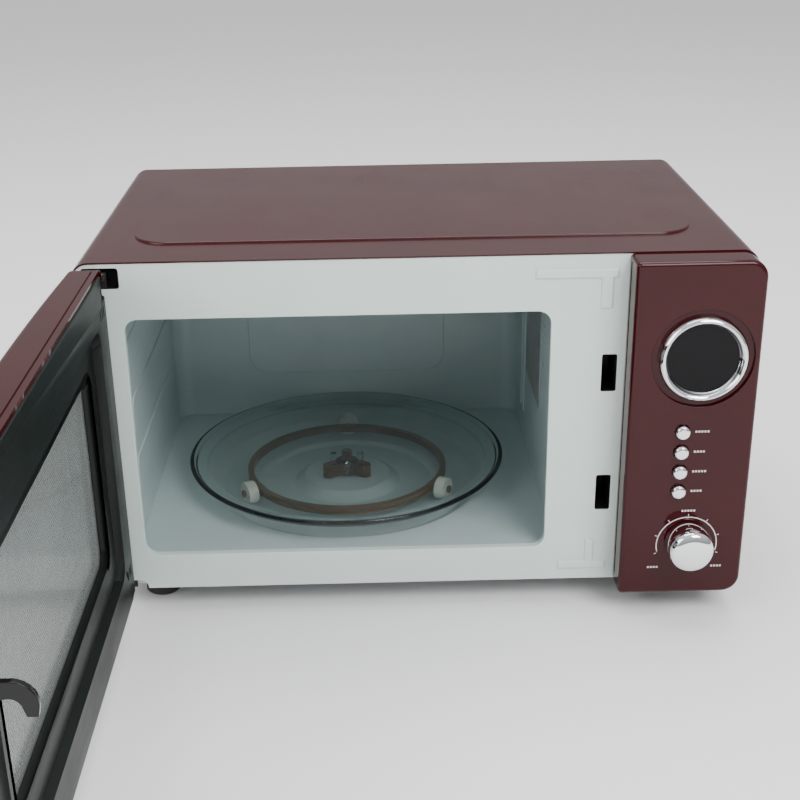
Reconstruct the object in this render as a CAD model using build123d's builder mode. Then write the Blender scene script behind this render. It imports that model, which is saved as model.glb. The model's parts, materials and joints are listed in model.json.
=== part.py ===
"""Countertop microwave oven, open door, millimetres.

X runs to the right, Y to the back and Z up. The origin lies under the middle of the cabinet,
on the plane that the feet stand on. The door is drawn open at a right angle to the cabinet.
"""
import os
from math import cos, pi, sin, sqrt

from build123d import *

# Cabinet
cabinet_width = 446.0
cabinet_depth = 268.0
cabinet_top = 259.0
body_bottom = 18.5
cover_sheet = 1.0
cover_corner = 12.0
cover_lip = 8.0
sheet_gap = 0.2
plate_sheet = 1.0
plate_rim = 9.0
base_setback = 6.0
base_flange = 8.0
emboss_inset_x = 33.0
emboss_inset_front = 39.5
emboss_inset_rear = 41.0
emboss_height = 1.5
emboss_corner = 26.0

# Cooking chamber
opening_from_left = 31.4
opening_to_panel = 49.7
opening_from_top = 39.3
opening_from_bottom = 26.5
opening_corner = 9.0
opening_lip = 5.0
chamber_wall = 1.0
chamber_margin_x = 7.0
chamber_margin_top = 6.0
chamber_rear_gap = 11.0
chamber_corner = 14.0
floor_step_down = 1.2
track_outer = 107.0
track_inner = 97.4
track_drop = 4.9
well_outer = 70.3
well_inner = 66.0
well_drop = 7.6
dish_outer = 41.5
dish_inner = 33.4
dish_drop = 1.2
hole_side = 3.0
hole_pitch = 6.0
hole_from_top = 26.0
inlet_from_front = 20.0
inlet_columns = 4
inlet_rows = 9
outlet_from_rear = 30.0
outlet_columns = 8
outlet_rows = 4
port_side = 64.0
shaft_hole = 7.0

# Turntable drive
wheel_radius = 8.5
wheel_width = 8.0
wheel_track = 85.0
wheel_count = 3
wheel_axle = 2.0
axle_clearance = 0.06
rolling_gap = 0.3
hoop_outer = 78.0
hoop_inner = 73.5
hoop_height = 6.0
glass_radius = 122.5
glass_thickness = 4.0
glass_rim_height = 8.0
coupler_hub = 8.5
coupler_arm = 17.0
coupler_arm_width = 8.0
coupler_height = 10.0
shaft_radius = 3.4
motor_radius = 25.0
motor_height = 14.0

# Control panel
panel_width = 84.4
panel_depth = 22.3
panel_wall = 2.5
panel_top_gap = 1.0
panel_bottom_gap = 0.5
panel_small_corner = 3.0
panel_edge_round = 5.0
display_from_right = 37.7
display_from_top = 66.4
recess_radius = 33.7
recess_depth = 2.2
bezel_radius = 29.2
lens_radius = 23.2
bezel_height = 6.5
button_from_right = 47.7
button_below_display = 51.4
button_pitch = 14.6
button_count = 4
button_radius = 4.9
button_travel = 1.5
button_proud = 4.0
button_clearance = 0.25
dial_from_right = 39.3
dial_below_buttons = 37.9
dial_radius = 15.5
dial_length = 20.0
dial_gap = 1.0
dial_shaft = 3.0

# Door
door_gap = 2.0
door_seal_gap = 1.5
door_wall = 2.5
door_crown = 5.0
door_rim = 2.5
hinge_inset = 11.0
hinge_reach = 13.5
hinge_relief = 12.8
hinge_pin = 2.5
hinge_clearance = 0.06
hinge_tab_half = 4.0
hinge_tab_sheet = 2.0
hinge_tab_room = 6.0
upper_tab_from_top = 15.0
lower_tab_from_bottom = 1.5
frame_skin = 2.5
frame_lip = 1.6
film_sheet = 0.5
frame_band = 31.0
frame_step_depth = 5.0
frame_slope = 4.0
frame_second_band = 15.0
frame_second_depth = 4.0
screen_sheet = 0.4
tray_depth = 13.4
tray_sheet = 1.0
tray_inset_hinge = 19.0
tray_inset_free = 15.0
tray_inset_z = 6.0
window_trim = 4.0
pane_overlap = 9.0
pane_thickness = 2.5

# Latch
hook_from_free_edge = 8.1
hook_thickness = 3.5
hook_reach = 25.0
hook_height = 18.0
hook_neck = 9.0
hook_tip = 6.0
upper_slot_from_top = 83.7
lower_slot_from_bottom = 67.9
slot_width = 10.2
slot_height = 26.6
latch_travel = 4.0
latch_bar_depth = 6.0
latch_bar_past_hook = 18.0
spring_length = 14.0

# Handle
handle_from_free_edge = 27.0
handle_span = 150.0
handle_standoff = 32.0
handle_bar = 6.5
handle_post = 5.0

# Fasteners
screw_head = 4.0
screw_head_height = 2.2
screw_shank = 1.7
screw_length = 6.0
screw_clearance = 0.1
foot_socket = 6.0

# Fan
fan_from_right = 63.0
fan_from_top = 83.0
fan_radius = 42.0
fan_tip_gap = 2.5
fan_frame = 100.0
fan_depth = 22.0
fan_blades = 5

# Positions that follow from the sizes above
left_x = -cabinet_width / 2
right_x = cabinet_width / 2
front_y = -cabinet_depth / 2
rear_y = cabinet_depth / 2
inner_left = left_x + cover_sheet
inner_right = right_x - cover_sheet
inner_top = cabinet_top - cover_sheet

panel_left = right_x - panel_width
opening_left = left_x + opening_from_left
opening_right = panel_left - opening_to_panel
opening_width = opening_right - opening_left
opening_top = cabinet_top - opening_from_top
opening_bottom = body_bottom + opening_from_bottom
opening_height = opening_top - opening_bottom
opening_mid_x = (opening_left + opening_right) / 2
opening_mid_z = (opening_top + opening_bottom) / 2
chamber_left = opening_left - chamber_margin_x
chamber_right = opening_right + chamber_margin_x
chamber_top = opening_top + chamber_margin_top
chamber_front = front_y + plate_sheet
chamber_rear = rear_y - chamber_rear_gap
floor_z = opening_bottom - floor_step_down
turntable_x = opening_mid_x
turntable_y = (chamber_front + chamber_rear) / 2

track_z = floor_z - track_drop
axle_z = track_z + rolling_gap + wheel_radius
glass_z = axle_z + wheel_radius + rolling_gap
dish_z = floor_z - dish_drop
motor_top = dish_z - chamber_wall

base_z = body_bottom + cover_sheet + sheet_gap
base_top = base_z + plate_sheet

panel_top = cabinet_top - panel_top_gap
panel_bottom = body_bottom - panel_bottom_gap
panel_face_y = front_y - panel_depth
panel_inner_y = panel_face_y + panel_wall
display_x = right_x - display_from_right
display_z = cabinet_top - display_from_top
button_x = right_x - button_from_right
button_heights = [display_z - button_below_display - button_pitch * i for i in range(button_count)]
dial_x = right_x - dial_from_right
dial_z = button_heights[-1] - dial_below_buttons
button_foot_y = panel_inner_y + 0.6

door_width = cabinet_width - panel_width - door_gap
door_top = panel_top
door_bottom = panel_bottom
door_height = door_top - door_bottom
door_mid_z = (door_top + door_bottom) / 2
hook_u = door_width - hook_from_free_edge
slot_x = left_x + hook_u
upper_slot_z = cabinet_top - upper_slot_from_top
lower_slot_z = body_bottom + lower_slot_from_bottom
hinge_x = left_x + hinge_inset
hinge_y = front_y - hinge_reach
door_origin_x = left_x + hinge_inset + hinge_reach
door_origin_y = front_y + hinge_inset - hinge_reach
door_edge = panel_depth
frame_window_inset = frame_band + frame_slope * 2 + frame_second_band
frame_second_z = door_seal_gap + frame_step_depth
frame_third_z = frame_second_z + frame_second_depth
upper_tab_z = cabinet_top - upper_tab_from_top
lower_tab_z = panel_bottom + lower_tab_from_bottom
screen_near = tray_depth - 0.1 - screen_sheet
film_near = door_seal_gap + frame_step_depth + frame_second_depth + frame_lip + 0.1
handle_u = door_width - handle_from_free_edge
bar_near = door_seal_gap + frame_skin + 1.0
bar_top = upper_slot_z + latch_bar_past_hook
spring_base = bar_top + 0.2

# The magnetron bay lies between the chamber and the right side of the cover
bay_left = chamber_right + chamber_wall
fan_x = right_x - fan_from_right
fan_z = cabinet_top - fan_from_top
fan_seat = rear_y - plate_sheet - sheet_gap


def door_plane(depth):
    """Plane across the door, depth measured outwards from the cabinet front when closed."""
    return Plane(origin=(door_origin_x - depth, door_origin_y, 0), x_dir=(0, -1, 0), z_dir=(-1, 0, 0))


def door_section(height):
    """Level plane with its X along the door from the hinge edge, and its Y towards the chamber."""
    return Plane(origin=(door_origin_x, door_origin_y, height), x_dir=(0, -1, 0), z_dir=(0, 0, 1))


def door_outline(inset):
    """Door outline, with large corners on the hinge side like those of the cover."""
    with BuildSketch(Plane.XY) as outline:
        with Locations((door_width / 2, door_mid_z)):
            Rectangle(door_width - 2 * inset, door_height - 2 * inset)
        fillet(outline.vertices().group_by(Axis.X)[0], cover_corner - inset)
        fillet(outline.vertices().group_by(Axis.X)[-1], max(panel_small_corner - inset, 0.5))
    return outline.sketch


def rounded_box(plane, centre, width, height, corner, depth, mode=Mode.ADD):
    """Extruded rounded rectangle on a plane, used inside an open part."""
    with BuildSketch(plane) as profile:
        with Locations(centre):
            RectangleRounded(width, height, corner)
    extrude(profile.sketch, amount=depth, mode=mode)


def block(low, high, mode=Mode.ADD):
    """Box between two opposite corners, used inside an open part."""
    size = [high[i] - low[i] for i in range(3)]
    with Locations([((low[0] + high[0]) / 2, (low[1] + high[1]) / 2, (low[2] + high[2]) / 2)]):
        Box(*size, mode=mode)


def rod(start, direction, radius, length, mode=Mode.ADD):
    """Round bar from a start point along a direction, used inside an open part."""
    with BuildSketch(Plane(origin=start, z_dir=direction)) as profile:
        Circle(radius)
    extrude(profile.sketch, amount=length, mode=mode)


def crown_at(u):
    """How far the crowned outer face stands out from its edges, at a distance along the door."""
    radius = (door_width ** 2 / 4 + door_crown ** 2) / (2 * door_crown)
    return sqrt(radius ** 2 - (u - door_width / 2) ** 2) - (radius - door_crown)


def crowned_block(inset, back, edge):
    """Door-shaped block from a back depth to an outer face that is crowned about a vertical axis."""
    with BuildPart() as crowned:
        with BuildSketch(door_plane(back)):
            add(door_outline(inset))
        extrude(amount=edge + door_crown - back + 1)
        with BuildSketch(door_section(door_bottom - 1)):
            with BuildLine():
                arc = ThreePointArc((0, -edge), (door_width / 2, -edge - door_crown), (door_width, -edge))
                Polyline(arc @ 1, (door_width, -back + 1), (0, -back + 1), arc @ 0)
            make_face()
        extrude(amount=door_height + 2, mode=Mode.INTERSECT)
    return crowned.part


def hinge_corner_tool():
    """What the hinge-side inner corner loses, so that it swings clear of the cabinet front."""
    with BuildPart() as corner:
        with BuildSketch(door_section(door_bottom - 1)):
            with Locations((hinge_inset / 2 - 1, -hinge_reach / 2 + 1)):
                Rectangle(hinge_inset + 2, hinge_reach + 2)
            with Locations((hinge_inset, -hinge_reach)):
                Circle(hinge_relief, mode=Mode.SUBTRACT)
        extrude(amount=door_height + 2)
        # The hollows that the two fixed hinge tabs turn in
        room = hinge_tab_room
        for low, high in (
            (upper_tab_z - 1.2, upper_tab_z + hinge_tab_sheet + 1.5),
            (door_bottom - 1, lower_tab_z + hinge_tab_sheet + 1.2),
        ):
            with BuildSketch(door_section(low)):
                with Locations(((hinge_inset + room) / 2 - 1, -(hinge_reach + room) / 2 + 1)):
                    Rectangle(hinge_inset + room + 2, hinge_reach + room + 2)
            extrude(amount=high - low)
    return corner.part


def screws(planes, head=screw_head, shank=screw_shank, length=screw_length):
    """Group of pan-head screws, each plane at the seat with its normal out of the head."""
    with BuildPart() as group:
        for plane in planes:
            with BuildSketch(plane):
                Circle(head)
            extrude(amount=screw_head_height, taper=12)
            with BuildSketch(plane):
                Circle(shank)
            extrude(amount=-length)
            with BuildSketch(plane.offset(screw_head_height)):
                Rectangle(head * 1.1, 0.9)
                Rectangle(0.9, head * 1.1)
            extrude(amount=-1.0, mode=Mode.SUBTRACT)
    return group


# Screw places, shared by the screws and the holes they pass through
rear_screw_planes = [
    Plane(origin=(x, rear_y - sheet_gap, z), z_dir=(0, 1, 0))
    for x in (left_x + 12, 0, right_x - 12)
    for z in (body_bottom + 16, cabinet_top - 14)
]
foot_places = [
    (x, y) for x in (left_x + 36, right_x - 36) for y in (front_y + 34, rear_y - 34)
]
handle_screw_points = [door_mid_z - handle_span / 2, door_mid_z + handle_span / 2]

# ---------------------------------------------------------------- cabinet shell
with BuildPart() as outer_cover:
    with BuildSketch(Plane.XZ.offset(-rear_y)):
        with Locations((0, (cabinet_top + body_bottom) / 2)):
            Rectangle(cabinet_width, cabinet_top - body_bottom)
        fillet(vertices().group_by(Axis.Y)[-1], cover_corner)
        with BuildSketch(Plane.XZ.offset(-rear_y), mode=Mode.PRIVATE) as hollow:
            with Locations((0, (inner_top + body_bottom + cover_sheet) / 2)):
                Rectangle(cabinet_width - 2 * cover_sheet, inner_top - body_bottom - cover_sheet)
            fillet(hollow.vertices().group_by(Axis.Y)[-1], cover_corner - cover_sheet)
        add(hollow.sketch, mode=Mode.SUBTRACT)
        with Locations((0, body_bottom)):
            Rectangle(cabinet_width - 2 * cover_lip, 4 * cover_sheet, mode=Mode.SUBTRACT)
    extrude(amount=cabinet_depth)
    emboss_width = cabinet_width - 2 * emboss_inset_x
    emboss_length = cabinet_depth - emboss_inset_front - emboss_inset_rear
    emboss_y = (emboss_inset_front - emboss_inset_rear) / 2
    rounded_box(
        Plane.XY.offset(cabinet_top), (0, emboss_y), emboss_width, emboss_length, emboss_corner, emboss_height
    )
    chamfer(outer_cover.edges().group_by(Axis.Z)[-1], emboss_height * 0.9)
    rounded_box(
        Plane.XY.offset(inner_top - 0.01), (0, emboss_y), emboss_width - 6, emboss_length - 6,
        emboss_corner - 3, emboss_height + 0.01, Mode.SUBTRACT,
    )

with BuildPart() as base_plate:
    base_half_x = cabinet_width / 2 - cover_sheet - plate_sheet - 2 * sheet_gap
    base_front = front_y + base_setback
    base_rear = rear_y - plate_sheet - 2 * sheet_gap
    block((-base_half_x, base_front, base_z), (base_half_x, base_rear, base_top))
    for y in (base_front, base_rear - plate_sheet):
        block((-base_half_x, y, base_z), (base_half_x, y + plate_sheet, base_z + base_flange))
    with Locations(*[(right_x - 103 + 10 * i, front_y + y, base_z) for i in range(8) for y in (24, 44)]):
        Box(5, 14, 4, mode=Mode.SUBTRACT)
    for x, y in foot_places:
        rod((x, y, base_z - 1), (0, 0, 1), screw_shank + screw_clearance, 4, Mode.SUBTRACT)

with BuildPart() as rear_panel:
    rear_half_x = cabinet_width / 2 - cover_sheet - sheet_gap
    rear_face = Plane.XZ.offset(-(rear_y - sheet_gap))
    with BuildSketch(rear_face):
        with Locations((0, (inner_top - sheet_gap + base_top + sheet_gap) / 2)):
            Rectangle(2 * rear_half_x, inner_top - base_top - 2 * sheet_gap)
        fillet(vertices().group_by(Axis.Y)[-1], cover_corner - cover_sheet - sheet_gap)
    extrude(amount=plate_sheet)
    with Locations(*[(left_x + 73 + 8 * i, rear_y, body_bottom + z) for i in range(12) for z in (51, 81)]):
        Box(4, 6, 20, mode=Mode.SUBTRACT)
    for ring, count in ((9, 8), (18, 14), (27, 20), (36, 28)):
        for i in range(count):
            angle = 2 * pi * i / count
            hole_x = fan_x + ring * cos(angle)
            hole_z = fan_z + ring * sin(angle)
            rod((hole_x, rear_y - 5, hole_z), (0, 1, 0), 2.6, 10, Mode.SUBTRACT)
    for plane in rear_screw_planes:
        with BuildSketch(plane.offset(1)):
            Circle(screw_shank + screw_clearance)
        extrude(amount=-5, mode=Mode.SUBTRACT)
    gland_x, gland_z = right_x - 42, body_bottom + 44
    rod((gland_x, rear_y - 5, gland_z), (0, 1, 0), 7.0, 10, Mode.SUBTRACT)

with BuildPart() as rear_spacers:
    for x in (-cabinet_width / 4, cabinet_width / 4):
        with BuildSketch(Plane.XZ.offset(-(rear_y - sheet_gap))):
            with Locations((x, cabinet_top - 34)):
                RectangleRounded(26, 16, 5)
        extrude(amount=-11, taper=10)

with BuildPart() as cord_gland:
    rod((gland_x, rear_y - sheet_gap, gland_z), (0, 1, 0), 9.5, 3.0)
    rod((gland_x, rear_y - sheet_gap, gland_z), (0, 1, 0), 6.9, 12.0)
    rod((gland_x, rear_y - sheet_gap, gland_z), (0, -1, 0), 6.9, 1.0 + 0.2)
    rod((gland_x, rear_y - sheet_gap - 1.2, gland_z), (0, -1, 0), 8.6, 4.0)
    rod((gland_x, rear_y - 20, gland_z), (0, 1, 0), 4.0, 60.0, Mode.SUBTRACT)

with BuildPart() as feet:
    for x, y in foot_places:
        with BuildSketch(Plane.XY):
            with Locations((x, y)):
                Circle(13.0)
        extrude(amount=base_z, taper=8)
        rod((x, y, -1), (0, 0, 1), 5.5, foot_socket + 1, Mode.SUBTRACT)
        rod((x, y, foot_socket - 1), (0, 0, 1), screw_shank + screw_clearance, 30, Mode.SUBTRACT)

foot_screw_length = base_top - foot_socket + 2
case_screws = screws(rear_screw_planes)
with case_screws:
    add(screws([Plane(origin=(x, y, foot_socket), z_dir=(0, 0, -1)) for x, y in foot_places],
               length=foot_screw_length).part)

# ---------------------------------------------------------------- front plate
with BuildPart() as front_plate:
    plate_half_x = cabinet_width / 2 - cover_sheet - sheet_gap
    plate_top = inner_top - sheet_gap
    plate_mid_z = (plate_top + body_bottom) / 2
    plate_corner = cover_corner - cover_sheet - sheet_gap
    with BuildSketch(Plane.XZ.offset(-(front_y + plate_rim))):
        with Locations((0, plate_mid_z)):
            Rectangle(2 * plate_half_x, plate_top - body_bottom)
        fillet(vertices().group_by(Axis.Y)[-1], plate_corner)
    extrude(amount=plate_rim)
    with BuildSketch(Plane.XZ.offset(-(front_y + plate_rim))):
        with Locations((0, plate_mid_z - plate_sheet)):
            Rectangle(2 * (plate_half_x - plate_sheet), plate_top - body_bottom)
        fillet(vertices().group_by(Axis.Y)[-1], plate_corner - plate_sheet)
    extrude(amount=plate_rim - plate_sheet, mode=Mode.SUBTRACT)
    # The mouth of the chamber, with its lip turned inwards
    rounded_box(
        Plane.XZ.offset(-front_y - plate_sheet), (opening_mid_x, opening_mid_z),
        opening_width + 2 * plate_sheet, opening_height + 2 * plate_sheet,
        opening_corner + plate_sheet, -opening_lip + plate_sheet,
    )
    rounded_box(
        Plane.XZ.offset(-front_y + 1), (opening_mid_x, opening_mid_z),
        opening_width, opening_height, opening_corner, -opening_lip - 2, Mode.SUBTRACT,
    )
    # Slots for the two latch hooks
    for z in (upper_slot_z, lower_slot_z):
        block((slot_x - slot_width / 2, front_y - 2, z - slot_height / 2),
              (slot_x + slot_width / 2, front_y + 4, z + slot_height / 2), Mode.SUBTRACT)
    # Room for the control board and the switches behind the panel
    block((panel_left + 14, front_y - 2, body_bottom + 26), (right_x - 14, front_y + 4, cabinet_top - 20),
          Mode.SUBTRACT)
    # Notches for the hinge tabs
    block((left_x + 7, front_y - 2, upper_tab_z - 3), (left_x + 31, front_y + 4, upper_tab_z + 11), Mode.SUBTRACT)
    block((left_x + 7, front_y - 2, 0), (left_x + 31, front_y + 4, body_bottom + 6.5), Mode.SUBTRACT)
    for side in (-1, 1):
        with Locations((side * (cabinet_width / 2 - cover_lip / 2), front_y, body_bottom)):
            Box(cover_lip + 2 * sheet_gap, 20, 2 * (cover_sheet + sheet_gap), mode=Mode.SUBTRACT)
    # Stiffening ribs pressed into the plate beside the panel
    for x, z, width, height in (
        (panel_left - 34, cabinet_top - 14, 54, 2.4), (panel_left - 13, cabinet_top - 25, 2.4, 19),
        (panel_left - 23, body_bottom + 11.5, 34, 2.4), (panel_left - 17, body_bottom + 21.5, 2.4, 16),
    ):
        block((x - width / 2, front_y - 0.7, z - height / 2), (x + width / 2, front_y, z + height / 2))

# ---------------------------------------------------------------- cooking chamber
port_y = turntable_y + 15
port_z = chamber_top - 76
chamber_mid_x = (chamber_left + chamber_right) / 2
liner_front = chamber_front + sheet_gap
corner_start = chamber_rear - chamber_corner


def chamber_plan(wall):
    """Level outline of the chamber, open to the front, with a sheet thickness added all round."""
    with BuildSketch(Plane.XY) as plan:
        with Locations((chamber_mid_x, (liner_front + chamber_rear + wall) / 2)):
            Rectangle(chamber_right - chamber_left + 2 * wall, chamber_rear + wall - liner_front)
        fillet(plan.vertices().group_by(Axis.Y)[-1], chamber_corner + wall)
    return plan.sketch


def wall_block(x_low, x_high, mode=Mode.ADD):
    """Side wall of the chamber between two X places, used inside an open part."""
    block((x_low, liner_front, floor_z - chamber_wall), (x_high, corner_start, chamber_top + chamber_wall), mode)


with BuildPart() as cavity_left_wall:
    wall_block(chamber_left - chamber_wall, chamber_left)
    # Steam outlet
    with Locations(*[(chamber_left, chamber_rear - outlet_from_rear - hole_pitch * i,
                      chamber_top - hole_from_top - hole_pitch * j)
                     for i in range(outlet_columns) for j in range(outlet_rows)]):
        Box(4 * chamber_wall, hole_side, hole_side, mode=Mode.SUBTRACT)

with BuildPart() as cavity_right_wall:
    wall_block(chamber_right, chamber_right + chamber_wall)
    # Lamp and air inlet, near the front
    with Locations(*[(chamber_right, chamber_front + inlet_from_front + hole_pitch * i,
                      chamber_top - hole_from_top - hole_pitch * j)
                     for i in range(inlet_columns) for j in range(inlet_rows)]):
        Box(4 * chamber_wall, hole_side, hole_side, mode=Mode.SUBTRACT)
    block((chamber_right - 1, port_y - port_side / 2, port_z - port_side / 2),
          (chamber_right + 3, port_y + port_side / 2, port_z + port_side / 2), Mode.SUBTRACT)

with BuildPart() as cavity_rear_wall:
    with BuildSketch(Plane.XY.offset(floor_z - chamber_wall)):
        add(chamber_plan(chamber_wall))
        add(chamber_plan(0), mode=Mode.SUBTRACT)
        with Locations((chamber_mid_x, corner_start - chamber_rear)):
            Rectangle(2 * cabinet_width, 2 * chamber_rear, mode=Mode.SUBTRACT)
    extrude(amount=chamber_top - floor_z + 2 * chamber_wall)

with BuildPart() as cavity_ceiling:
    with BuildSketch(Plane.XY.offset(chamber_top)):
        add(chamber_plan(0))
    extrude(amount=chamber_wall)

with BuildPart() as cavity_floor:
    with BuildSketch(Plane.XY.offset(floor_z - chamber_wall)):
        add(chamber_plan(0))
    extrude(amount=chamber_wall)
    rod((turntable_x, turntable_y, floor_z - 5), (0, 0, 1), track_outer, 10, Mode.SUBTRACT)
    # Stepped pan under the turntable, a thin sheet turned about the drive axis
    with BuildSketch(Plane(origin=(turntable_x, turntable_y, 0), x_dir=(1, 0, 0), z_dir=(0, -1, 0))):
        with BuildLine():
            upper = [
                (track_outer, floor_z), (track_inner, track_z), (well_outer, track_z),
                (well_inner, floor_z - well_drop), (dish_outer, floor_z - well_drop),
                (dish_inner, dish_z), (shaft_hole, dish_z),
            ]
            lower = [(r, z - chamber_wall) for r, z in reversed(upper)]
            Polyline(*upper, *lower, close=True)
        make_face()
    revolve(axis=Axis((turntable_x, turntable_y, 0), (0, 0, 1)))

with BuildPart() as waveguide_cover:
    block((chamber_right - 0.5, port_y - 42, port_z - 42), (chamber_right, port_y + 42, port_z + 42))
    with Locations(*[(chamber_right, port_y + y, port_z + z) for y in (-37, 37) for z in (-37, 37)]):
        Box(4, 3, 3, mode=Mode.SUBTRACT)

guide_y = (port_y - 40, port_y + 40)
guide_z = (port_z - 38, port_z + 66)
guide_depth = 32.0
with BuildPart() as waveguide:
    block((bay_left, guide_y[0], guide_z[0]), (bay_left + guide_depth, guide_y[1], guide_z[1]))
    block((bay_left - 1, guide_y[0] + 1, guide_z[0] + 1),
          (bay_left + guide_depth - 1, guide_y[1] - 1, guide_z[1] - 1), Mode.SUBTRACT)
    magnetron_y = sum(guide_y) / 2
    magnetron_z = guide_z[1] - 36
    rod((bay_left + guide_depth - 5, magnetron_y, magnetron_z), (1, 0, 0), 17.0, 10, Mode.SUBTRACT)

with BuildPart() as magnetron:
    seat_x = bay_left + guide_depth
    rod((seat_x, magnetron_y, magnetron_z), (1, 0, 0), 22.0, 4.0)
    rod((seat_x + 4, magnetron_y, magnetron_z), (-1, 0, 0), 8.0, 24.0)
    yoke = (seat_x + 4, seat_x + 64)
    block((yoke[0], magnetron_y - 40, magnetron_z - 32), (yoke[1], magnetron_y + 40, magnetron_z + 32))
    block((yoke[0] + 2, magnetron_y - 41, magnetron_z - 30), (yoke[1] - 2, magnetron_y + 41, magnetron_z + 30),
          Mode.SUBTRACT)
    rod((yoke[0] + 2, magnetron_y, magnetron_z), (1, 0, 0), 18.0, yoke[1] - yoke[0] - 4)
    for i in range(9):
        fin_x = yoke[0] + 8 + i * 5.2
        block((fin_x, magnetron_y - 36, magnetron_z - 30), (fin_x + 0.8, magnetron_y + 36, magnetron_z + 30))
    block((yoke[1], magnetron_y - 30, magnetron_z - 26), (yoke[1] + 24, magnetron_y + 30, magnetron_z + 20))

# ---------------------------------------------------------------- high-voltage parts
core_x = bay_left + 28
core_y = front_y + 112.0
with BuildPart() as hv_transformer:
    block((core_x - 8, core_y - 34, base_top), (core_x + 84, core_y + 34, base_top + 3))
    block((core_x, core_y - 26, base_top + 3), (core_x + 76, core_y + 26, base_top + 67))
    for y_low, y_high in ((core_y - 44, core_y - 26), (core_y + 26, core_y + 44)):
        rounded_box(Plane.XY.offset(base_top + 12), (core_x + 38, (y_low + y_high) / 2),
                    60, y_high - y_low, 6, 46)
    with Locations(*[(core_x + 38, core_y, base_top + 12 + 8 * i) for i in range(7)]):
        Box(77, 53, 0.8, mode=Mode.SUBTRACT)
    block((core_x + 1, core_y - 25, base_top + 3), (core_x + 75, core_y + 25, base_top + 67))

with BuildPart() as hv_capacitor:
    can_centre = (fan_x - 6, rear_y - 42)
    rounded_box(Plane.XY.offset(base_top + 10), can_centre, 88, 32, 15.5, 56)
    for x in (-16, 16):
        block((can_centre[0] + x - 3, can_centre[1] - 0.4, base_top + 66),
              (can_centre[0] + x + 3, can_centre[1] + 0.4, base_top + 76))

with BuildPart() as capacitor_bracket:
    rounded_box(Plane.XY.offset(base_top + 30), can_centre, 92.6, 36.6, 17, 12)
    rounded_box(Plane.XY.offset(base_top + 29), can_centre, 88.4, 32.4, 15.7, 14, Mode.SUBTRACT)
    block((can_centre[0] - 54, can_centre[1] - 9, base_top), (can_centre[0] - 46.2, can_centre[1] + 9, base_top + 42))

with BuildPart() as hv_diode:
    rod((can_centre[0] - 16, can_centre[1] - 4.5, base_top + 71), (1, 0, 0), 3.5, 32)

# ---------------------------------------------------------------- cooling fan
with BuildPart() as fan_housing:
    rounded_box(Plane.XZ.offset(-fan_seat), (fan_x, fan_z), fan_frame, fan_frame, 8, fan_depth)
    rod((fan_x, fan_seat + 1, fan_z), (0, -1, 0), fan_radius + fan_tip_gap, fan_depth + 2, Mode.SUBTRACT)

fan_mid = fan_seat - fan_depth / 2
fan_shaft = 2.0
with BuildPart() as fan_blade:
    rod((fan_x, fan_mid + 7, fan_z), (0, -1, 0), 11.0, 14.0)
    for i in range(fan_blades):
        angle = 2 * pi * i / fan_blades
        outward = (cos(angle), 0, sin(angle))
        for reach, chord, pitch in ((9.0, 15.0, 42), (fan_radius, 30.0, 24)):
            place = (fan_x + reach * outward[0], fan_mid, fan_z + reach * outward[2])
            with BuildSketch(Plane(origin=place, x_dir=(0, 1, 0), z_dir=outward)):
                Rectangle(1.6, chord, rotation=pitch)
        loft()
    rod((fan_x, fan_mid + 4, fan_z), (0, -1, 0), fan_shaft + axle_clearance, 20, Mode.SUBTRACT)

with BuildPart() as fan_motor:
    motor_face = fan_seat - fan_depth
    block((fan_x - 46, motor_face - 3, fan_z - 6), (fan_x + 46, motor_face, fan_z + 6))
    block((fan_x - 24, motor_face - 23, fan_z - 20), (fan_x + 24, motor_face - 3, fan_z + 20))
    rod((fan_x - 14, motor_face - 29, fan_z - 12), (0, 1, 0), 9.0, 26)
    rod((fan_x, motor_face - 3, fan_z), (0, 1, 0), fan_shaft, fan_depth / 2 + 5)

# ---------------------------------------------------------------- turntable drive
with BuildPart() as turntable_motor:
    rod((turntable_x, turntable_y, motor_top - motor_height), (0, 0, 1), motor_radius, motor_height)
    for side in (-1, 1):
        block((turntable_x + side * motor_radius - 6, turntable_y - 5, motor_top - 1.0),
              (turntable_x + side * motor_radius + 6, turntable_y + 5, motor_top))
    rod((turntable_x, turntable_y, motor_top - 10), (0, 0, 1), shaft_radius + axle_clearance, 20, Mode.SUBTRACT)

with BuildPart() as drive_coupler:
    coupler_base = dish_z + 1.0
    with BuildSketch(Plane.XY.offset(coupler_base)):
        with Locations((turntable_x, turntable_y)):
            Circle(coupler_hub)
            with PolarLocations(coupler_arm / 2, 3, 90):
                Rectangle(coupler_arm, coupler_arm_width)
            with PolarLocations(coupler_arm, 3, 90):
                Circle(coupler_arm_width / 2)
    extrude(amount=coupler_height)
    rod((turntable_x, turntable_y, motor_top - 9.5), (0, 0, 1), shaft_radius, coupler_base - motor_top + 10)
    rod((turntable_x, turntable_y, coupler_base + coupler_height - 2), (0, 0, 1), 4.0, 4, Mode.SUBTRACT)

with BuildPart() as glass_turntable:
    with BuildSketch(Plane(origin=(turntable_x, turntable_y, 0), x_dir=(1, 0, 0), z_dir=(0, -1, 0))):
        with BuildLine():
            rim_out = glass_radius
            rim_in = glass_radius - glass_thickness
            Polyline(
                (0, glass_z), (rim_in - 4, glass_z), (rim_out, glass_z + 5), (rim_out, glass_z + glass_rim_height),
                (rim_in, glass_z + glass_rim_height), (rim_in, glass_z + 6),
                (rim_in - 5, glass_z + glass_thickness), (0, glass_z + glass_thickness), close=True,
            )
        make_face()
    revolve(axis=Axis((turntable_x, turntable_y, 0), (0, 0, 1)))
    # Three lugs under the glass that sit between the arms of the coupler
    lug_reach = coupler_arm * 0.72
    with BuildSketch(Plane.XY.offset(glass_z)):
        with Locations((turntable_x, turntable_y)):
            with PolarLocations(lug_reach, 3, 30):
                Circle(2.6)
    extrude(amount=-(glass_z - coupler_base - coupler_height) - 5.0)

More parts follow.
